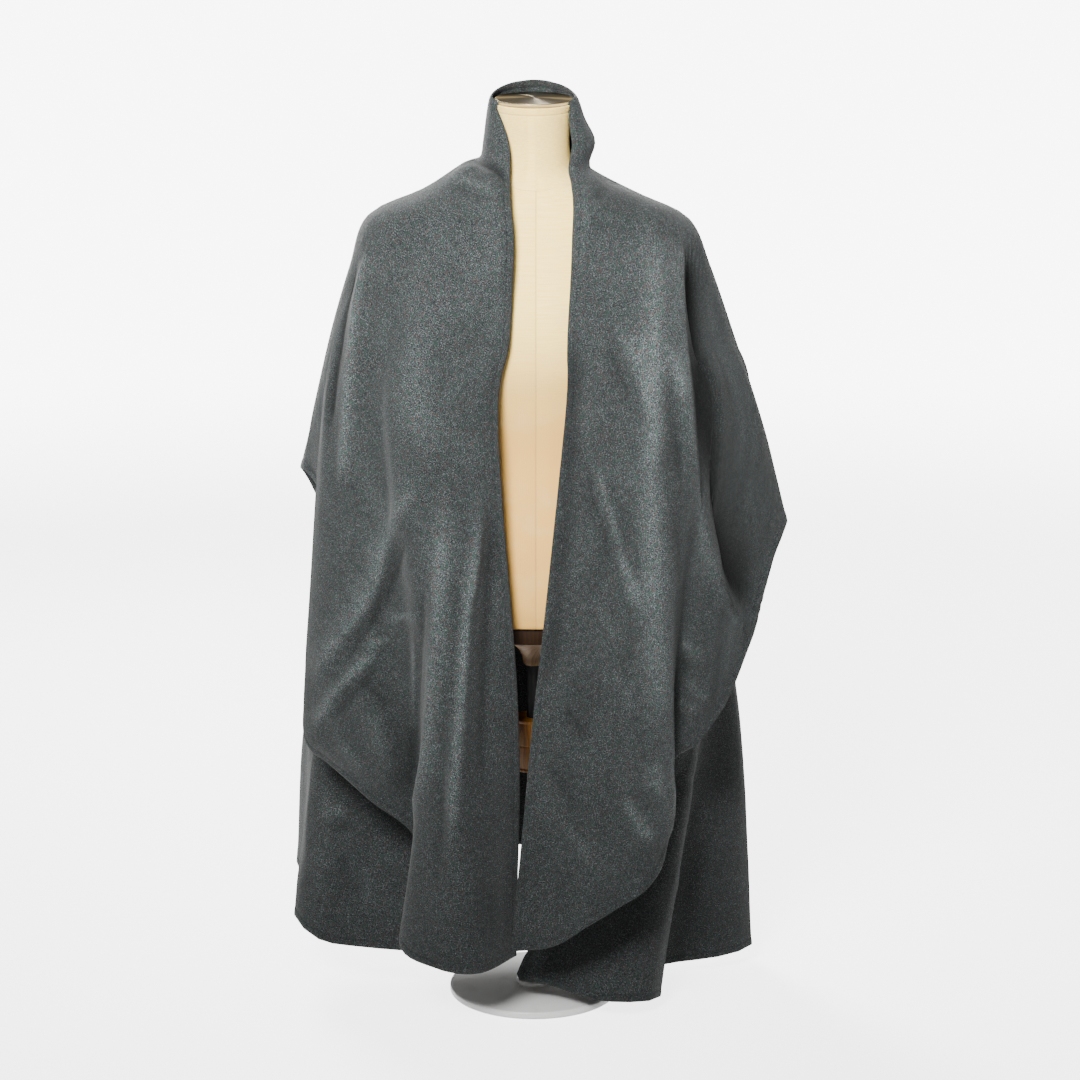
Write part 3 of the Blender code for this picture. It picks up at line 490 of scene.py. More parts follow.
# ---------------------------------------------------------------- the cape's cloth
def on_ring(ring, fold):
    """Where a fold crosses a ring."""
    edge = ring.edge_left if fold.around < 0 else ring.edge_right
    half = ring.left if fold.around < 0 else ring.right
    degrees = fold.around * edge
    x, y = ring_point(half, ring.front, ring.back, ring.round, degrees)
    out = {"chest": fold.chest, "elbow": fold.elbow}.get(ring.name, 0.0)
    length = math.hypot(x / half, y / ring.front)
    x += out * x / half / length
    y += out * y / ring.front / length
    facing = math.cos(math.radians(degrees))
    side = ring.z_left if fold.around < 0 else ring.z_right
    end = ring.z_back if facing > 0 else ring.z_front
    return x, y, side + (end - side) * abs(facing) ** FACING_POWER


def fold_line(fold):
    """The line of one fold, from the neck edge to the hem."""
    knots = [on_ring(ring, fold) for ring in RINGS]
    if fold.thigh:
        knots.append((*fold.thigh, THIGH_HEIGHT))
    knots.append(fold.hem)
    knots = np.array(knots)
    places = even_knots(knots)
    shoulder = places[YOKE_RINGS - 1]
    yoke_rows = np.linspace(0.0, shoulder, (YOKE_RINGS - 1) * YOKE_STEPS + 1)
    yoke = spline(knots, places, yoke_rows)
    skirt = spline(knots, places, np.linspace(shoulder, 1.0, CURVE_STEPS))
    rows = np.linspace(0.0, lengths_along(skirt)[-1], SKIRT_ROWS + 1)
    return np.vstack([yoke, at_lengths(skirt, rows)[1:]])


def column_places(lines, around):
    """Where the columns of cloth lie among the fold lines, closer together in the fronts."""
    gaps = np.linalg.norm(np.diff(lines, axis=0), axis=2)
    widest = np.quantile(gaps, STEP_SHARE, axis=1)
    knots = np.concatenate([[0.0], np.cumsum(np.sqrt(gaps.mean(axis=1)))])
    places = [0.0]
    for first, gap in enumerate(widest):
        middle = (around[first] + around[first + 1]) / 2
        step = BACK_STEP if LEFT_TIP < middle < RIGHT_TIP else FRONT_STEP
        count = max(2, math.ceil(gap / step))
        places += list(np.linspace(knots[first], knots[first + 1], count + 1)[1:])
    return knots, np.array(places)


def with_edge_rows(line, end_scale=1.0):
    """The line's points moved along it, so that some lie in the turned edge and its stitches at each end."""
    total = lengths_along(line)[-1]
    start, end = EDGE_ROWS, EDGE_ROWS * end_scale
    inner = start[-1] + lengths_along(line)[1:-1] / total * (total - start[-1] - end[-1])
    return at_lengths(line, np.concatenate([start, inner, total - end[::-1]]))


def hem_scale(grid, column):
    """How much further the edge's rows are apart where a column meets the hem at a slant."""
    before, after = max(column - 1, 0), min(column + 1, len(grid) - 1)
    hem = grid[after, -1] - grid[before, -1]
    down = grid[column, -1] - grid[column, -3]
    cosine = abs(hem @ down) / (np.linalg.norm(hem) * np.linalg.norm(down) + 1e-9)
    return 1.0 / max(math.sqrt(1 - cosine**2), STEEPEST_HEM)


def cloth_grid():
    """The middle of the cloth as columns of points from neck to hem, and how far round each column is."""
    lines = np.array([fold_line(fold) for fold in FOLDS])
    around = np.array([fold.around for fold in FOLDS])
    knots, places = column_places(lines, around)
    flat = spline(lines.reshape(len(lines), -1), knots, places)
    grid = flat.reshape(len(places), -1, 3)
    scales = np.array([hem_scale(grid, column) for column in range(len(grid))])
    even = np.full(HEM_COLUMNS, 1 / HEM_COLUMNS)
    scales = np.convolve(np.pad(scales, HEM_COLUMNS // 2, mode="edge"), even, mode="valid")
    grid = np.array([with_edge_rows(line, scale) for line, scale in zip(grid, scales)])
    rows = [with_edge_rows(grid[:, row]) for row in range(grid.shape[1])]
    grid = np.stack(rows, axis=1)
    ends = len(EDGE_ROWS) - 1
    middle = np.interp(places, knots, around)
    around = np.concatenate([np.full(ends, -1.0), middle, np.full(ends, 1.0)])
    return grid, around


def grid_normals(grid):
    """The cloth's outward direction at each point."""
    across = np.gradient(grid, axis=0)
    down = np.gradient(grid, axis=1)
    out = np.cross(across, down)
    return out / (np.linalg.norm(out, axis=2, keepdims=True) + 1e-12)


def crease_shape(crease, cloth, out, seen):
    """How much of a crease each point of the cloth has, from 0 to 1."""
    path = np.array(crease.path) * MM
    knots = lengths_along(path)
    drawn = spline(path, knots, np.linspace(0.0, knots[-1], CREASE_STEPS))
    flat = cloth[:, :, seen].reshape(-1, 2)
    on_cloth_at = [np.linalg.norm(flat - point, axis=1).argmin() for point in drawn]
    line = cloth.reshape(-1, 3)[on_cloth_at]
    line[:, seen] = drawn
    hidden = 3 - sum(seen)
    for _ in range(SMOOTH_PASSES):
        line[1:-1, hidden] = (line[:-2, hidden] + 2 * line[1:-1, hidden] + line[2:, hidden]) / 4
    offsets = cloth[:, :, None, :] - line
    far = np.linalg.norm(offsets, axis=3)
    nearest = far.argmin(axis=2)
    along = nearest / (CREASE_STEPS - 1)
    heading = np.gradient(line, axis=0)[nearest]
    offset = np.take_along_axis(offsets, nearest[:, :, None, None], axis=2)[:, :, 0]
    side = np.sign((np.cross(heading, offset) * out).sum(axis=2))
    width = crease.width * MM * (1 - crease.lean * side)
    ends = smooth_step(0, crease.fade, along) * smooth_step(0, crease.fade, 1 - along)
    return ends * np.exp(-((far.min(axis=2) / width) ** crease.sharp))


def crease_heights(grid, around):
    """How far the creases lift or press in each point of the cloth, and how sharply it is folded there, which
    paints highlight and shade on the wool.
    """
    lift, fold_shade_steepness = np.zeros(grid.shape[:2]), np.zeros(grid.shape[:2])
    out = grid_normals(grid)
    for panel in PANELS:
        inside = np.nonzero((around >= panel.start) & (around <= panel.end))[0]
        for crease in (Crease(*row) for row in panel.creases):
            shape = crease_shape(crease, grid[inside], out[inside], panel.seen)
            lift[inside] += crease.height * MM * shape
            fold_shade_steepness[inside] += crease.height / crease.width * shape
    return lift, fold_shade_steepness


def distances(grid, axis):
    """How far along the cloth each point is, from the left front edge, or for axis 1 from the neck."""
    steps = np.linalg.norm(np.diff(grid, axis=axis), axis=2)
    return np.insert(np.cumsum(steps, axis=axis), 0, 0.0, axis=axis)


def from_front_edge(grid):
    """How far each point is from the nearer front edge."""
    from_left = distances(grid, 0)
    return np.minimum(from_left, from_left[-1] - from_left)


def edge_roll(grid):
    """How far the front edges and the top of the collar roll in towards the neck."""
    high = smooth_step(*ROLL_BAND, grid[:, :, 2])
    sides = ROLL_DEEP * high * np.maximum(1 - from_front_edge(grid) / ROLL_WIDE, 0) ** 2
    top = TOP_ROLL_DEEP * np.maximum(1 - distances(grid, 1) / ROLL_WIDE, 0) ** 2
    return sides + top


def round_corners(grid):
    """Lets the neck edge down where it comes to the front edges."""
    depth = grid[:, :1, 2] - grid[:, :, 2]
    near = np.maximum(1 - from_front_edge(grid)[:, :1] / CORNER_WIDE, 0) ** 2
    grid[:, :, 2] -= CORNER_DROP * near * smooth_step(3 * CORNER_WIDE, 0, depth)


def slack(grid):
    """The small unevenness of cloth that hangs: long upright waves, less near the neck."""
    waves = np.zeros(grid.shape[:2])
    for i, column in enumerate(grid):
        for j, (x, y, z) in enumerate(column):
            loose = min(max((SLACK_TOP - z) / SLACK_TOP, LEAST_SLACK), 1.0)
            for wave in SLACK_WAVES:
                spot = Vector((x + wave.shift, y, z * wave.upright)) / wave.width
                waves[i, j] += loose * wave.height * noise.noise(spot)
    return waves


def surface_of(piece):
    mesh = piece.data
    return BVHTree.FromPolygons([v.co for v in mesh.vertices], [tuple(p.vertices) for p in mesh.polygons])


def push_out(grid, form):
    """Moves points of the cloth off the form, until CLOTH_CLEAR is left."""
    for column in grid:
        for row, point in enumerate(column):
            place, normal, _, far = form.find_nearest(Vector(point))
            if far > FORM_REACH:
                continue
            way = (Vector(point) - place).normalized()
            if way.dot(normal) < INSIDE_LIMIT:
                way, far = -way, -far
            if far < CLOTH_CLEAR:
                column[row] = point + np.array(way * (CLOTH_CLEAR - far))


def settle(grid, form):
    """Moves the cloth off the form, and takes the cloth beside it along."""
    start = grid.copy()
    push_out(grid, form)
    move = grid - start
    for _ in range(SPREAD_PASSES):
        wide = np.pad(move, ((1, 1), (1, 1), (0, 0)), mode="edge")
        beside = wide[:-2, 1:-1] + wide[2:, 1:-1] + wide[1:-1, :-2] + wide[1:-1, 2:]
        move = (move + beside / 4) / 2
    grid[:] = start + move
    push_out(grid, form)


def cloth_uv(grid, around):
    """Places on the flat cloth in metres: across from the nearer front edge or the middle of the back, and
    down from the neck."""
    from_left = distances(grid, 0)
    middle = np.abs(around).argmin()
    front = np.where(around[:, None] < 0, from_left, from_left - from_left[-1])
    back = from_left - from_left[middle] + WEAVE_SHIFT
    return front, back, -distances(grid, 1)


def edge_index(count):
    """For each row or column, how many others lie between it and the nearer edge."""
    index = np.arange(count)
    return np.minimum(index, index[::-1])


def build_cloth(form, wool):
    """The whole cape as one thin cloth, turned under and stitched along its edge."""
    grid, around = cloth_grid()
    settle(grid, form)
    lift, fold_shade_steepness = crease_heights(grid, around)
    grid += grid_normals(grid) * (lift + slack(grid) - edge_roll(grid))[:, :, None]
    round_corners(grid)
    settle(grid, form)

    columns, rows = grid.shape[:2]
    front, back, down = cloth_uv(grid, around)
    bm = bmesh.new()
    bmesh.ops.create_grid(bm, x_segments=columns - 1, y_segments=rows - 1, size=1.0)
    uv = bm.loops.layers.uv.new("cloth")
    weight = bm.verts.layers.deform.verify()
    groove = bm.verts.layers.float.new("groove")
    fold_shading = bm.verts.layers.float.new("fold_shading")
    place = {}
    for vert in bm.verts:
        i = round((vert.co.x + 1) / 2 * (columns - 1))
        j = round((vert.co.y + 1) / 2 * (rows - 1))
        place[vert] = (i, j)
        vert.co = grid[i, j]
    from_edge = np.minimum.outer(edge_index(columns), edge_index(rows))
    for vert, (i, j) in place.items():
        k = from_edge[i, j]
        vert[weight][0] = EDGE_PROFILE[k] if k < len(EDGE_PROFILE) else CLOTH_THICK / EDGE_THICK
        vert[groove] = 1.0 if k == STITCH_ROW else 0.0
        # painted highlight and shade, from how steeply the cloth is folded here
        vert[fold_shading] = fold_shade_steepness[i, j] / FOLD_SHADE_STEEP
    for face in bm.faces:
        spots = [place[loop.vert] for loop in face.loops]
        centre = sum(around[i] for i, _ in spots) / 4
        across = back if LEFT_TIP < centre < RIGHT_TIP else front
        for loop, (i, j) in zip(face.loops, spots):
            loop[uv].uv = (across[i, j], down[i, j])
    cloth = new_piece("cape_cloth", bm, wool, "grey_wool", "cape_panel")
    cloth.vertex_groups.new(name="thickness")
    wall = cloth.modifiers.new("wall", "SOLIDIFY")
    wall.thickness = EDGE_THICK
    wall.offset = 0.0
    wall.vertex_group = "thickness"
    return cloth, grid


def build_stitches(grid, thread):
    """Short threads in a row, on both faces of the cloth, all round its edge."""
    inner = np.concatenate([grid, grid_normals(grid)], axis=2)[STITCH_ROW:-STITCH_ROW, STITCH_ROW:-STITCH_ROW]
    bm = bmesh.new()
    for run in (inner[0], inner[:, -1], inner[-1], inner[:, 0]):
        line = run[:, :3]
        total = lengths_along(line)[-1]
        count = int(total / STITCH_STEP)
        middles = (np.arange(count) + 0.5) * total / count
        places = at_lengths(line, middles)
        ahead = at_lengths(line, middles + STITCH_LONG / 2) - at_lengths(line, middles - STITCH_LONG / 2)
        facing = at_lengths(run, middles)[:, 3:]
        for place, along, normal in zip(places, ahead, facing):
            for face in (1, -1):
                lay_stitch(bm, place, along, normal * face)
    return new_piece("edge_stitching", bm, thread, "grey_wool")


def lay_stitch(bm, place, along, normal):
    """One thread lying on the cloth."""
    along = Vector(along).normalized()
    normal = Vector(normal).normalized()
    beside = normal.cross(along).normalized()
    normal = along.cross(beside)
    turn = Matrix((along, beside, normal)).transposed().to_4x4()
    size = Matrix.Diagonal((STITCH_LONG / 2, STITCH_WIDE / 2, STITCH_HIGH / 2, 1.0))
    groove = EDGE_THICK * EDGE_PROFILE[STITCH_ROW]
    at = Vector(place) + normal * (groove / 2 + STITCH_HIGH * STITCH_LIFT)
    bmesh.ops.create_icosphere(bm, subdivisions=1, radius=1.0, matrix=Matrix.Translation(at) @ turn @ size)


# ---------------------------------------------------------------- pieces
def new_piece(name, bm, material, slot, *nodes):
    """Makes the mesh an object that rides on the part, with a smooth finish, in place of the CAD nodes."""
    bmesh.ops.recalc_face_normals(bm, faces=bm.faces)
    mesh = bpy.data.meshes.new(name)
    bm.to_mesh(mesh)
    bm.free()
    mesh.materials.append(material)
    mesh.shade_smooth()
    piece = add_object(name, mesh)
    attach(piece, "root")
    if nodes:
        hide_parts(*nodes)
    return piece


def turned(profile):
    """A body turned on a lathe. The profile's (radius, height) points start and end on the axis, or they are
    a loop off it."""
    bm = bmesh.new()
    points = [bm.verts.new((radius, 0.0, height)) for radius, height in profile]
    edges = [bm.edges.new(pair) for pair in zip(points, points[1:])]
    if profile[0][0] > 0:
        edges.append(bm.edges.new((points[-1], points[0])))
    around = {"cent": (0, 0, 0), "axis": (0, 0, 1), "angle": math.tau, "steps": TURN_STEPS}
    bmesh.ops.spin(bm, geom=points + edges, use_merge=True, **around)
    bmesh.ops.remove_doubles(bm, verts=bm.verts, dist=0.02 * MM)
    return bm


def soften(bm, width, sharp=25):
    """Rounds over the edges that turn by more than sharp degrees."""
    bmesh.ops.recalc_face_normals(bm, faces=bm.faces)
    turn = math.radians(sharp)
    edges = [edge for edge in bm.edges if len(edge.link_faces) == 2 and edge.calc_face_angle() > turn]
    bmesh.ops.bevel(bm, geom=edges, offset=width, segments=3, profile=0.5, affect="EDGES", material=-1)


# ---------------------------------------------------------------- the dress form
def level_row(z):
    """The form's section at a height."""
    table = np.array([list(section) for section in FORM_SECTIONS])
    place = np.interp(z, table[:, 0], even_knots(table))
    return Section(*spline(table, even_knots(table), np.array([place]))[0])


def level_ring(section, columns, inset=0.0):
    """Points round one level of the form: its angles are from the back, and a column's offset, where it has
    one, is its distance from the front seam."""
    middle = Vector((0.0, (section.back - section.front) / 2, section.z))
    tilt = Matrix.Rotation(math.radians(section.lean), 3, "X")
    half = section.half - inset
    depth = (section.back + section.front) / 2 - inset
    ring = []
    for degrees, offset in columns:
        if offset is not None:
            reach = (abs(FRONT_SEAM_X + offset) / half) ** (1 / FORM_ROUNDNESS)
            degrees = 180 - math.copysign(math.degrees(math.asin(reach)), FRONT_SEAM_X + offset)
        x, y = ring_point(half, depth, depth, FORM_ROUNDNESS, degrees)
        ring.append(middle + tilt @ Vector((x, y, 0.0)))
    return ring


def even_columns():
    return [(360 * i / FORM_COLUMNS, None) for i in range(FORM_COLUMNS)]


def form_columns():
    """Even steps round the form, and a few close columns beside the seam down the front."""
    even = even_columns()
    space = FRONT_SEAM_SPACE * 360 / FORM_COLUMNS
    before = [column for column in even if column[0] < 180 - space]
    after = [column for column in even if column[0] > 180 + space]
    return before + [(None, offset * MM) for offset in reversed(FRONT_SEAM_COLUMNS)] + after


def form_levels():
    """Heights of the cover's levels, closer together at the seams."""
    top = FORM_SECTIONS[-1].z
    cap_seam = top - CAP_SEAM_DROP
    broad = list(np.arange(TORSO_BOTTOM, top, FORM_STEP))
    fine = list(np.arange(*NECK_SEAM_BAND, NECK_SEAM_STEP))
    fine += [cap_seam + offset * MM for offset in CAP_SEAM_LEVELS]
    low, high = NECK_SEAM_BAND
    kept = [z for z in broad if not low - 2 * MM < z < high + 2 * MM and abs(z - cap_seam) > 4 * MM]
    ends = [TORSO_BOTTOM + 1.5 * MM, top - 1.5 * MM, top]
    return np.array(sorted(set(kept + fine + ends)))


def seam_depths(place):
    """How deep the seams pull the cover in at a place, from 0 to 1."""
    x, y, z = place
    cap_z = FORM_SECTIONS[-1].z - CAP_SEAM_DROP + y * math.tan(math.radians(NECK_TILT))
    rise = 1.0 if y > 0 else min(x / NECK_SEAM_HALF, 1.0) ** 2
    neck_z = NECK_SEAM_HEIGHT + NECK_SEAM_RISE * min(rise, 1.0)
    distances = [z - cap_z, z - neck_z]
    if y < 0 and z < neck_z and abs(x) < 4 * FRONT_SEAM_X:
        distances.append(x - FRONT_SEAM_X)
    return max(math.exp(-((distance / SEAM_WIDE) ** 2)) for distance in distances)


def build_cover(cream):
    """The form's tight cover, with its seams pulled in."""
    columns = form_columns()
    levels = form_levels()
    rings = np.array([level_ring(level_row(z), columns) for z in levels])
    rings[0] = level_ring(level_row(levels[0]), columns, 1.0 * MM)
    count, steps = len(columns), len(levels)

    bm = bmesh.new()
    bmesh.ops.create_grid(bm, x_segments=count, y_segments=steps - 1, size=1.0)
    seam = bm.verts.layers.float.new("seam")
    uv = bm.loops.layers.uv.new("cloth")
    place = {}
    for vert in bm.verts:
        i = round((vert.co.x + 1) / 2 * count)
        j = round((vert.co.y + 1) / 2 * (steps - 1))
        place[vert] = (i, j)
    for vert, (i, j) in place.items():
        spot = Vector(rings[j, i % count])
        deep = seam_depths(spot)
        inward = Vector((-spot.x, -spot.y, 0.0)).normalized()
        vert.co = spot + inward * SEAM_DEEP * deep
        vert[seam] = deep
    widest = max(section.half for section in FORM_SECTIONS)
    for face in bm.faces:
        for loop in face.loops:
            i, j = place[loop.vert]
            loop[uv].uv = (i / count * math.tau * widest, levels[j])
    bmesh.ops.remove_doubles(bm, verts=bm.verts, dist=0.01 * MM)
    rim = [edge for edge in bm.edges if edge.is_boundary]
    bmesh.ops.holes_fill(bm, edges=rim)
    return new_piece("form_cover", bm, cream, "cream_cover", "form_body")


def build_board(wood):
    """The wooden board under the form, of the same outline, with rounded edges."""
    high = TORSO_BOTTOM - SEAT_GAP
    outline = level_ring(FORM_SECTIONS[0]._replace(z=high), even_columns(), BOARD_INSET)
    bm = bmesh.new()
    face = bm.faces.new([bm.verts.new(point) for point in outline])
    wall = bmesh.ops.extrude_face_region(bm, geom=[face])
    moved = [item for item in wall["geom"] if isinstance(item, bmesh.types.BMVert)]
    bmesh.ops.translate(bm, verts=moved, vec=(0.0, 0.0, -BOARD_THICK))
    soften(bm, 2.5 * MM, 60)
    return new_piece("under_board", bm, wood, "dark_wood", "bottom_board")


def build_cap(metal):
    """The turned metal disc on the neck, a little domed, with a rolled rim."""
    profile = [
        (0.0, -CAP_THICK),
        (CAP_RADIUS, -CAP_THICK),
        (CAP_RADIUS, 0.0),
        (CAP_RADIUS - 2.2 * MM, 0.0),
        (CAP_RADIUS - 2.9 * MM, -0.35 * MM),
        (CAP_RADIUS * 0.7, 0.25 * MM),
        (CAP_RADIUS * 0.35, 0.8 * MM),
        (0.0, 1.1 * MM),
    ]
    bm = turned(profile)
    soften(bm, 0.8 * MM)
    lean = Matrix.Rotation(math.radians(NECK_TILT), 4, "X")
    bmesh.ops.transform(bm, matrix=Matrix.Translation((0.0, 0.0, CAP_HEIGHT)) @ lean, verts=bm.verts)
    return new_piece("neck_disc", bm, metal, "bronze_nickel", "neck_cap")


# ---------------------------------------------------------------- the stand
def smooth_profile(points, count):
    points = np.array(points)
    return [tuple(point) for point in spline(points, even_knots(points), np.linspace(0.0, 1.0, count))]


def hub_profile(bore):
    """The block's outline, with a groove round its middle and one near each end."""
    groove = 1.2
    end = [(0.0, 0.0), (0.0, 3.0), (groove, 4.0), (0.5, 5.5)]  # mm in from its side, and from its end
    waist = [(0.2, -groove), (groove, 0.0), (0.2, groove)]  # mm in from its side, and above its middle
    middle = (HUB_LOW + HUB_HIGH) / 2
    profile = [(bore, HUB_LOW)]
    profile += [(HUB_RADIUS - inset * MM, HUB_LOW + rise * MM) for inset, rise in end]
    profile += [(HUB_RADIUS - inset * MM, middle + rise * MM) for inset, rise in waist]
    profile += [(HUB_RADIUS - inset * MM, HUB_HIGH - rise * MM) for inset, rise in reversed(end)]
    return profile + [(bore, HUB_HIGH)]


def boss_profile(bore, high, low, socket):
    """The boss's outline, which sweeps in from the board to the rod."""
    narrowing = [(1.0, 6), (0.78, 11), (0.56, 17), (0.39, 25), (0.28, 35)]  # of its radius, and mm down
    sweep = [(BOSS_RADIUS * part, high - drop * MM) for part, drop in narrowing]
    sweep.append((BOSS_RADIUS * 0.245, low + 2 * MM))
    end = [(BOSS_RADIUS * 0.235, low), (bore, low), (bore, socket), (0.0, socket)]
    return [(0.0, high), (BOSS_RADIUS, high)] + smooth_profile(sweep, SWEEP_STEPS) + end


def build_stand(pale_wood, brown_wood, steel, paint):
    bore = POST_RADIUS + SEAT_GAP
    boss_high = TORSO_BOTTOM - 2 * SEAT_GAP - BOARD_THICK
    socket = boss_high - BOSS_SOCKET
    post_high = socket - SEAT_GAP
    foot_low = BASE_THICK + SEAT_GAP
    foot = [
        (bore, foot_low),
        (FOOT_RADIUS, foot_low),
        (FOOT_RADIUS, foot_low + FOOT_HEIGHT * 0.3),
        (FOOT_RADIUS * 0.6, foot_low + FOOT_HEIGHT - 1 * MM),
        (FOOT_RADIUS * 0.6 - 1 * MM, foot_low + FOOT_HEIGHT),
        (bore, foot_low + FOOT_HEIGHT),
    ]
    boss = boss_profile(bore, boss_high, boss_high - BOSS_HEIGHT, socket)
    post = [(0.0, foot_low), (POST_RADIUS, foot_low), (POST_RADIUS, post_high), (0.0, post_high)]
    base = [(0.0, 0.0), (BASE_RADIUS, 0.0), (BASE_RADIUS, BASE_THICK), (0.0, BASE_THICK)]
    # each piece: its outline, how wide its edges are rounded, in mm, and which of them, in degrees
    pieces = [
        ("boss", boss, 1.0, 35, pale_wood, "pale_wood", "turned_boss"),
        ("upright", post, 0.8, 25, steel, "black_steel", "post"),
        ("grip", hub_profile(bore), 0.4, 25, brown_wood, "brown_wood", "hub"),
        ("foot_ring", foot, 0.5, 25, paint, "pale_paint", "foot_collar"),
        ("base", base, 2.5, 25, paint, "pale_paint", "base_plate"),
    ]
    for name, profile, width, sharp, material, slot, node in pieces:
        bm = turned(profile)
        soften(bm, width * MM, sharp)
        new_piece(name, bm, material, slot, node)


# ---------------------------------------------------------------- nodes of the materials
def feed(tree, socket, value):
    """Gives a socket a value, or another node's output."""
    if isinstance(value, bpy.types.NodeSocket):
        tree.links.new(value, socket)
    else:
        socket.default_value = value


def feed_all(tree, sockets, **values):
    for name, value in values.items():
        feed(tree, sockets[name.replace("_", " ")], value)


def add_node(tree, kind, inputs=(), **settings):
    """A new node with its settings and inputs."""
    node = tree.nodes.new("ShaderNode" + kind)
    for name, value in settings.items():
        setattr(node, name, value)
    for name, value in dict(inputs).items():
        feed(tree, node.inputs[name], value)
    return node


def calculate(tree, operation, first, second=0.0):
    return add_node(tree, "Math", {0: first, 1: second}, operation=operation).outputs[0]


def weighed(tree, *shares):
    """The sum of some values, each with its share."""
    total = 0.0
    for value, share in shares:
        total = calculate(tree, "ADD", total, calculate(tree, "MULTIPLY", value, share))
    return total


def spread(tree, value, low, high, to_low=0.0, to_high=1.0):
    """The value, taken from the range low to high and clamped to the other range."""
    inputs = {"Value": value, "From Min": low, "From Max": high, "To Min": to_low, "To Max": to_high}
    return add_node(tree, "MapRange", inputs, interpolation_type="SMOOTHSTEP").outputs[0]


def mix_colours(tree, factor, first, second, blend="MIX"):
    inputs = {0: factor, 6: first, 7: second}
    return add_node(tree, "Mix", inputs, data_type="RGBA", blend_type=blend).outputs[2]


def lumps(tree, place, size, detail=2.0, start=0.0):
    """Noise whose lumps have the given size across, up and through, in mm, or the same in every direction."""
    across, up, through = size if isinstance(size, tuple) else (size, size, size)
    scale = (1 / (across * MM), 1 / (up * MM), 1 / (through * MM))
    spot = add_node(tree, "Mapping", {"Vector": place, "Scale": scale, "Location": (start, start, start)})
    return add_node(tree, "TexNoise", {"Vector": spot.outputs[0], "Scale": 1.0, "Detail": detail}).outputs[0]


def attribute(tree, name):
    return add_node(tree, "Attribute", attribute_name=name).outputs["Fac"]


def new_group(name, inputs, outputs):
    """An empty group of nodes, with its inputs' and outputs' sockets."""
    group = bpy.data.node_groups.new(name, "ShaderNodeTree")
    for socket, kind, value in [("Place", "Vector", None), *inputs]:
        made = group.interface.new_socket(socket, in_out="INPUT", socket_type="NodeSocket" + kind)
        if value is not None:
            made.default_value = value
    for socket, kind in outputs:
        group.interface.new_socket(socket, in_out="OUTPUT", socket_type="NodeSocket" + kind)
    start = group.nodes.new("NodeGroupInput")
    end = group.nodes.new("NodeGroupOutput")
    return group, start.outputs, end.inputs


def place_group(tree, group, inputs):
    return add_node(tree, "Group", inputs, node_tree=group).outputs


def heathered_fibres():
    """Fibres of a few shades spun together: small upright flecks on longer streaks."""
    inputs = [(name, "Color", (0.5, 0.5, 0.5, 1.0)) for name in ("Dark", "Middle", "Pale", "Warm", "Green")]
    group, given, wanted = new_group("heathered_fibres", inputs, [("Colour", "Color"), ("Height", "Float")])
    place = given["Place"]
    flecks = lumps(group, place, (1.1, 1.6, 1.1), 2.0)
    streaks = lumps(group, place, (2.2, 7.0, 2.2), 2.0, 3.1)
    fuzz = lumps(group, place, (0.6, 1.0, 0.6), 1.0, 5.7)
    tone = weighed(group, (flecks, 0.66), (streaks, 0.16), (fuzz, 0.18))
    lower = mix_colours(group, spread(group, tone, 0.38, 0.50), given["Dark"], given["Middle"])
    colour = mix_colours(group, spread(group, tone, 0.50, 0.63), lower, given["Pale"])
    warm = lumps(group, place, (2.4, 5.0, 2.4), 2.0, 7.3)
    colour = mix_colours(group, spread(group, warm, 0.53, 0.66, 0.0, 0.65), colour, given["Warm"])
    green = lumps(group, place, (3.4, 7.0, 3.4), 2.0, 11.9)
    colour = mix_colours(group, spread(group, green, 0.51, 0.63, 0.0, 0.65), colour, given["Green"])
    feed_all(group, wanted, Colour=colour, Height=tone)
    return group


def woven_threads():
    """Threads that cross: the height of the cloth over each thread, uneven from thread to thread."""
    inputs = [("Across", "Float", 0.001), ("Down", "Float", 0.001), ("Slant", "Float", 0.0)]
    group, given, wanted = new_group("woven_threads", inputs, [("Height", "Float"), ("Slub", "Float")])
    spot = add_node(group, "SeparateXYZ", {0: given["Place"]})
    sway = lumps(group, given["Place"], 9, 1.0, 2.3)
    sway = calculate(group, "MULTIPLY", calculate(group, "SUBTRACT", sway, 0.5), 1.4)
    down = calculate(group, "DIVIDE", spot.outputs["Y"], given["Down"])
    slanted = calculate(group, "MULTIPLY", down, given["Slant"])
    across = calculate(group, "DIVIDE", spot.outputs["X"], given["Across"])
    across = calculate(group, "ADD", calculate(group, "ADD", across, slanted), sway)
    down = calculate(group, "ADD", down, sway)
    warp = calculate(group, "SINE", calculate(group, "MULTIPLY", across, math.tau))
    weft = calculate(group, "SINE", calculate(group, "MULTIPLY", down, math.tau))
    height = calculate(group, "ADD", weighed(group, (warp, 0.3), (weft, 0.2)), 0.5)
    slub = lumps(group, given["Place"], (22, 0.9, 22), 2.0, 8.8)
    feed_all(group, wanted, Height=height, Slub=slub)
    return group


def wood_grain():
    """Rings of a turned piece's wood, cut along their length, with fine pores."""
    grey = (0.5, 0.5, 0.5, 1.0)
    inputs = [("Pale", "Color", grey), ("Dark", "Color", grey), ("Ring", "Float", 0.006)]
    group, given, wanted = new_group("wood_grain", inputs, [("Colour", "Color"), ("Height", "Float")])
    spot = add_node(group, "SeparateXYZ", {0: given["Place"]})
    bend = lumps(group, given["Place"], (30, 30, 120), 3.0, 4.4)
    diagonal = calculate(group, "ADD", spot.outputs["X"], spot.outputs["Y"])
    rings = calculate(group, "DIVIDE", diagonal, given["Ring"])
    rings = calculate(group, "ADD", rings, calculate(group, "MULTIPLY", bend, 5.0))
    pores = lumps(group, given["Place"], (0.7, 0.7, 14), 2.0, 6.1)
    tone = weighed(group, (calculate(group, "FRACT", rings), 0.5), (pores, 0.5))
    colour = mix_colours(group, spread(group, tone, 0.15, 0.85), given["Dark"], given["Pale"])
    feed_all(group, wanted, Colour=colour, Height=tone)
    return group


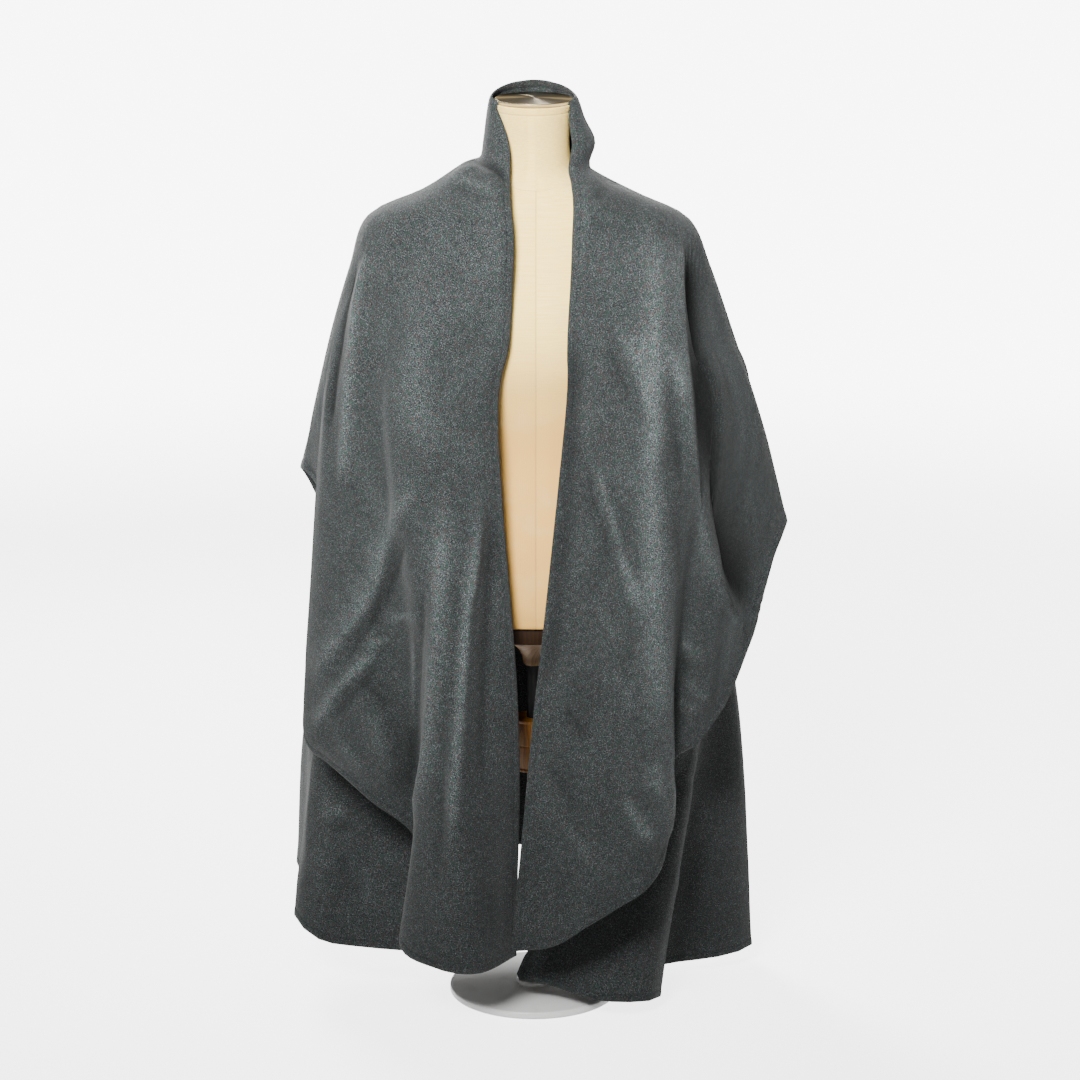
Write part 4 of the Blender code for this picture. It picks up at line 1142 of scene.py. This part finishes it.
def handling_marks():
    """Smudges and dust, from 0, clean, to 1."""
    group, given, wanted = new_group("handling_marks", [("Amount", "Float", 0.5)], [("Mask", "Float")])
    smudges = spread(group, lumps(group, given["Place"], (40, 40, 30), 4.0, 1.7), 0.48, 0.72)
    specks = spread(group, lumps(group, given["Place"], 1.4, 1.0, 9.5), 0.66, 0.74)
    marks = calculate(group, "MAXIMUM", smudges, calculate(group, "MULTIPLY", specks, 0.6))
    feed_all(group, wanted, Mask=calculate(group, "MULTIPLY", marks, given["Amount"]))
    return group


# ---------------------------------------------------------------- the finishes
def new_finish(name, **values):
    """A material with one shader, whose constant values are set on its own sockets."""
    material = bpy.data.materials.new(name)
    material.use_nodes = True
    tree = material.node_tree
    shader = tree.nodes["Principled BSDF"].inputs
    feed_all(tree, shader, **values)
    return material, tree, shader


def raise_surface(tree, height, distance, strength=1.0):
    inputs = {"Height": height, "Distance": distance * MM, "Strength": strength}
    return add_node(tree, "Bump", inputs).outputs[0]


def on_cloth(tree):
    return add_node(tree, "UVMap", uv_map="cloth").outputs[0]


def on_piece(tree):
    return add_node(tree, "TexCoord").outputs["Object"]


def grey_wool(fibres, threads):
    material, tree, shader = new_finish(
        "grey_wool", Sheen_Weight=0.06, Sheen_Roughness=0.5, Specular_IOR_Level=0.1
    )
    place = on_cloth(tree)
    heather = place_group(tree, fibres, {"Place": place, **WOOL_COLOURS})
    mottle = lumps(tree, place, (45, 70, 45), 3.0, 21.0)
    patches = lumps(tree, place, (8, 10, 8), 2.0, 33.0)
    fold_shading, groove = attribute(tree, "fold_shading"), attribute(tree, "groove")
    shades = [
        (mottle, 0.30, 0.70, 0.86, 1.10),
        (patches, 0.30, 0.70, 0.87, 1.13),
        (fold_shading, 0.0, 1.8, 1.0, 2.4),  # painted highlight along a fold
        (fold_shading, -1.6, 0.0, 0.12, 1.0),  # painted shade in a trough
        # painted shade in the stitched groove
        (groove, 0.0, 1.0, 1.0, 0.70),
    ]
    shade = 1.0
    for mask, low, high, to_low, to_high in shades:
        shade = calculate(tree, "MULTIPLY", shade, spread(tree, mask, low, high, to_low, to_high))
    tint = add_node(tree, "CombineColor", {0: shade, 1: shade, 2: shade}).outputs[0]
    weave = place_group(tree, threads, {"Place": place, "Across": 2.0 * MM, "Down": 1.6 * MM, "Slant": 0.5})
    height = weighed(tree, (heather["Height"], 1.0), (weave["Height"], 0.35))
    feed_all(
        tree,
        shader,
        Base_Color=mix_colours(tree, 1.0, heather["Colour"], tint, "MULTIPLY"),
        Roughness=spread(tree, heather["Height"], 0.3, 0.7, 0.98, 0.80),
        Normal=raise_surface(tree, height, 0.7, 0.8),
    )
    return material


def dark_thread(fibres):
    material, tree, shader = new_finish("dark_thread", Roughness=0.8, Specular_IOR_Level=0.25)
    heather = place_group(tree, fibres, {"Place": on_piece(tree), **THREAD_COLOURS})
    feed_all(tree, shader, Base_Color=heather["Colour"])
    return material


def cream_cover(threads, marks):
    material, tree, shader = new_finish(
        "cream_cover", Roughness=0.85, Sheen_Weight=0.15, Specular_IOR_Level=0.25
    )
    weave = place_group(
        tree, threads, {"Place": on_cloth(tree), "Across": 0.9 * MM, "Down": 0.9 * MM, "Slant": 0.0}
    )
    slubs = spread(tree, weave["Slub"], 0.35, 0.65)
    cream = mix_colours(tree, slubs, (0.860, 0.585, 0.145, 1.0), (0.920, 0.675, 0.205, 1.0))
    height = add_node(tree, "SeparateXYZ", {0: on_piece(tree)}).outputs["Z"]
    # painted shade: darker, warmer tone towards the bottom of the cover
    low_shade = spread(tree, height, *LOW_SHADE_BAND, 1.0, 0.0)
    cream = mix_colours(tree, low_shade, cream, (0.640, 0.355, 0.080, 1.0))
    thumbed = place_group(tree, marks, {"Place": on_piece(tree), "Amount": 0.22})
    cream = mix_colours(tree, thumbed["Mask"], cream, (0.640, 0.480, 0.230, 1.0))
    seam = spread(tree, attribute(tree, "seam"), 0.25, 1.0, 0.0, 0.35)
    cream = mix_colours(tree, seam, cream, (0.330, 0.220, 0.090, 1.0))
    height = calculate(tree, "ADD", weave["Height"], weave["Slub"])
    feed_all(tree, shader, Base_Color=cream, Normal=raise_surface(tree, height, 0.25, 0.6))
    return material


def bronze_nickel(marks):
    material, tree, shader = new_finish("bronze_nickel", Metallic=1.0, Anisotropic=0.9)
    worn = place_group(tree, marks, {"Place": on_piece(tree), "Amount": 0.5})["Mask"]
    feed_all(
        tree,
        shader,
        Base_Color=mix_colours(tree, worn, (0.260, 0.190, 0.085, 1.0), (0.180, 0.125, 0.050, 1.0)),
        Roughness=spread(tree, worn, 0.0, 0.5, 0.28, 0.40),
        Tangent=add_node(tree, "Tangent", direction_type="RADIAL", axis="Z").outputs[0],
    )
    return material


def turned_wood(wood, grain, marks):
    material, tree, shader = new_finish(wood.name, Specular_IOR_Level=wood.shine)
    place = on_piece(tree)
    colours = {"Pale": wood.pale, "Dark": wood.dark}
    rings = place_group(tree, grain, {"Place": place, "Ring": wood.ring, **colours})
    worn = place_group(tree, marks, {"Place": place, "Amount": 0.35})["Mask"]
    feed_all(
        tree,
        shader,
        Base_Color=mix_colours(tree, worn, rings["Colour"], wood.dark),
        Roughness=spread(tree, rings["Height"], 0.0, 1.0, 0.42, 0.58),
        Normal=raise_surface(tree, rings["Height"], 0.15, 0.5),
    )
    return material


def painted(paint, marks):
    material, tree, shader = new_finish(paint.name, Specular_IOR_Level=paint.shine)
    place = on_piece(tree)
    worn = place_group(tree, marks, {"Place": place, "Amount": paint.wear})["Mask"]
    feed_all(
        tree,
        shader,
        Base_Color=mix_colours(tree, worn, paint.clean, paint.worn),
        Roughness=spread(tree, worn, 0.0, 1.0, *paint.rough),
        Normal=raise_surface(tree, lumps(tree, place, paint.peel, 1.0), paint.deep, paint.strength),
    )
    return material


# ---------------------------------------------------------------- floor, lights and camera
def add_object(name, data):
    made = bpy.data.objects.new(name, data)
    bpy.context.scene.collection.objects.link(made)
    return made


def build_floor():
    """A plain pale floor that goes over into the pale background far off."""
    bm = bmesh.new()
    bmesh.ops.create_grid(bm, x_segments=1, y_segments=1, size=FLOOR_HALF)
    mesh = bpy.data.meshes.new("floor")
    bm.to_mesh(mesh)
    bm.free()
    material, tree, _ = new_finish(
        "floor_white",
        Base_Color=(0.80, 0.80, 0.80, 1.0),
        Roughness=0.9,
        Specular_IOR_Level=0.1,
        Emission_Color=WHITE,
        Emission_Strength=FLOOR_GLOW,
    )
    far = add_node(tree, "VectorMath", {0: on_piece(tree)}, operation="LENGTH").outputs["Value"]
    surface = tree.nodes["Principled BSDF"].outputs[0]
    glow = add_node(tree, "Emission", {"Color": WHITE, "Strength": BACKGROUND_LIGHT}).outputs[0]
    both = add_node(tree, "MixShader", {0: spread(tree, far, FLOOR_NEAR, FLOOR_FAR), 1: surface, 2: glow})
    feed_all(tree, tree.nodes["Material Output"].inputs, Surface=both.outputs[0])
    mesh.materials.append(material)
    floor = add_object("floor", mesh)
    floor.visible_diffuse = False


def build_world():
    """Even pale light from all round, and a white background."""
    world = bpy.data.worlds.new("studio")
    world.use_nodes = True
    bpy.context.scene.world = world
    tree = world.node_tree
    seen = add_node(tree, "LightPath").outputs["Is Camera Ray"]
    strength = spread(tree, seen, 0.0, 1.0, ROOM_LIGHT, BACKGROUND_LIGHT)
    feed_all(tree, tree.nodes["Background"].inputs, Strength=strength, Color=WHITE)


def add_lights():
    for row in LIGHTS:
        lamp = bpy.data.lights.new(row.name, "AREA")
        lamp.shape = "DISK"
        lamp.size = row.size
        lamp.energy = row.power
        lamp.spread = math.radians(row.beam)
        light = add_object(row.name, lamp)
        light.location = row.place
        light.rotation_euler = (Vector(row.aim) - Vector(row.place)).to_track_quat("-Z", "Y").to_euler()
        light.visible_camera = False


def build_camera():
    lens = bpy.data.cameras.new("camera")
    lens.sensor_width = 36.0
    lens.lens = CAMERA_LENS
    camera = add_object("camera", lens)
    camera.location = CAMERA_PLACE
    camera.rotation_euler = (math.radians(90 - CAMERA_DOWN), 0.0, 0.0)
    bpy.context.scene.camera = camera


# ---------------------------------------------------------------- the whole
def build_all():
    fibres, threads = heathered_fibres(), woven_threads()
    grain, marks = wood_grain(), handling_marks()
    dark_wood, pale_wood, brown_wood = [turned_wood(wood, grain, marks) for wood in WOODS]
    black_steel, pale_paint = [painted(paint, marks) for paint in PAINTS]

    cover = build_cover(cream_cover(threads, marks))
    build_board(dark_wood)
    build_cap(bronze_nickel(marks))
    build_stand(pale_wood, brown_wood, black_steel, pale_paint)
    cloth, grid = build_cloth(surface_of(cover), grey_wool(fibres, threads))
    stitches = build_stitches(grid, dark_thread(fibres))

    build_floor()
    build_world()
    add_lights()
    build_camera()


build_all()
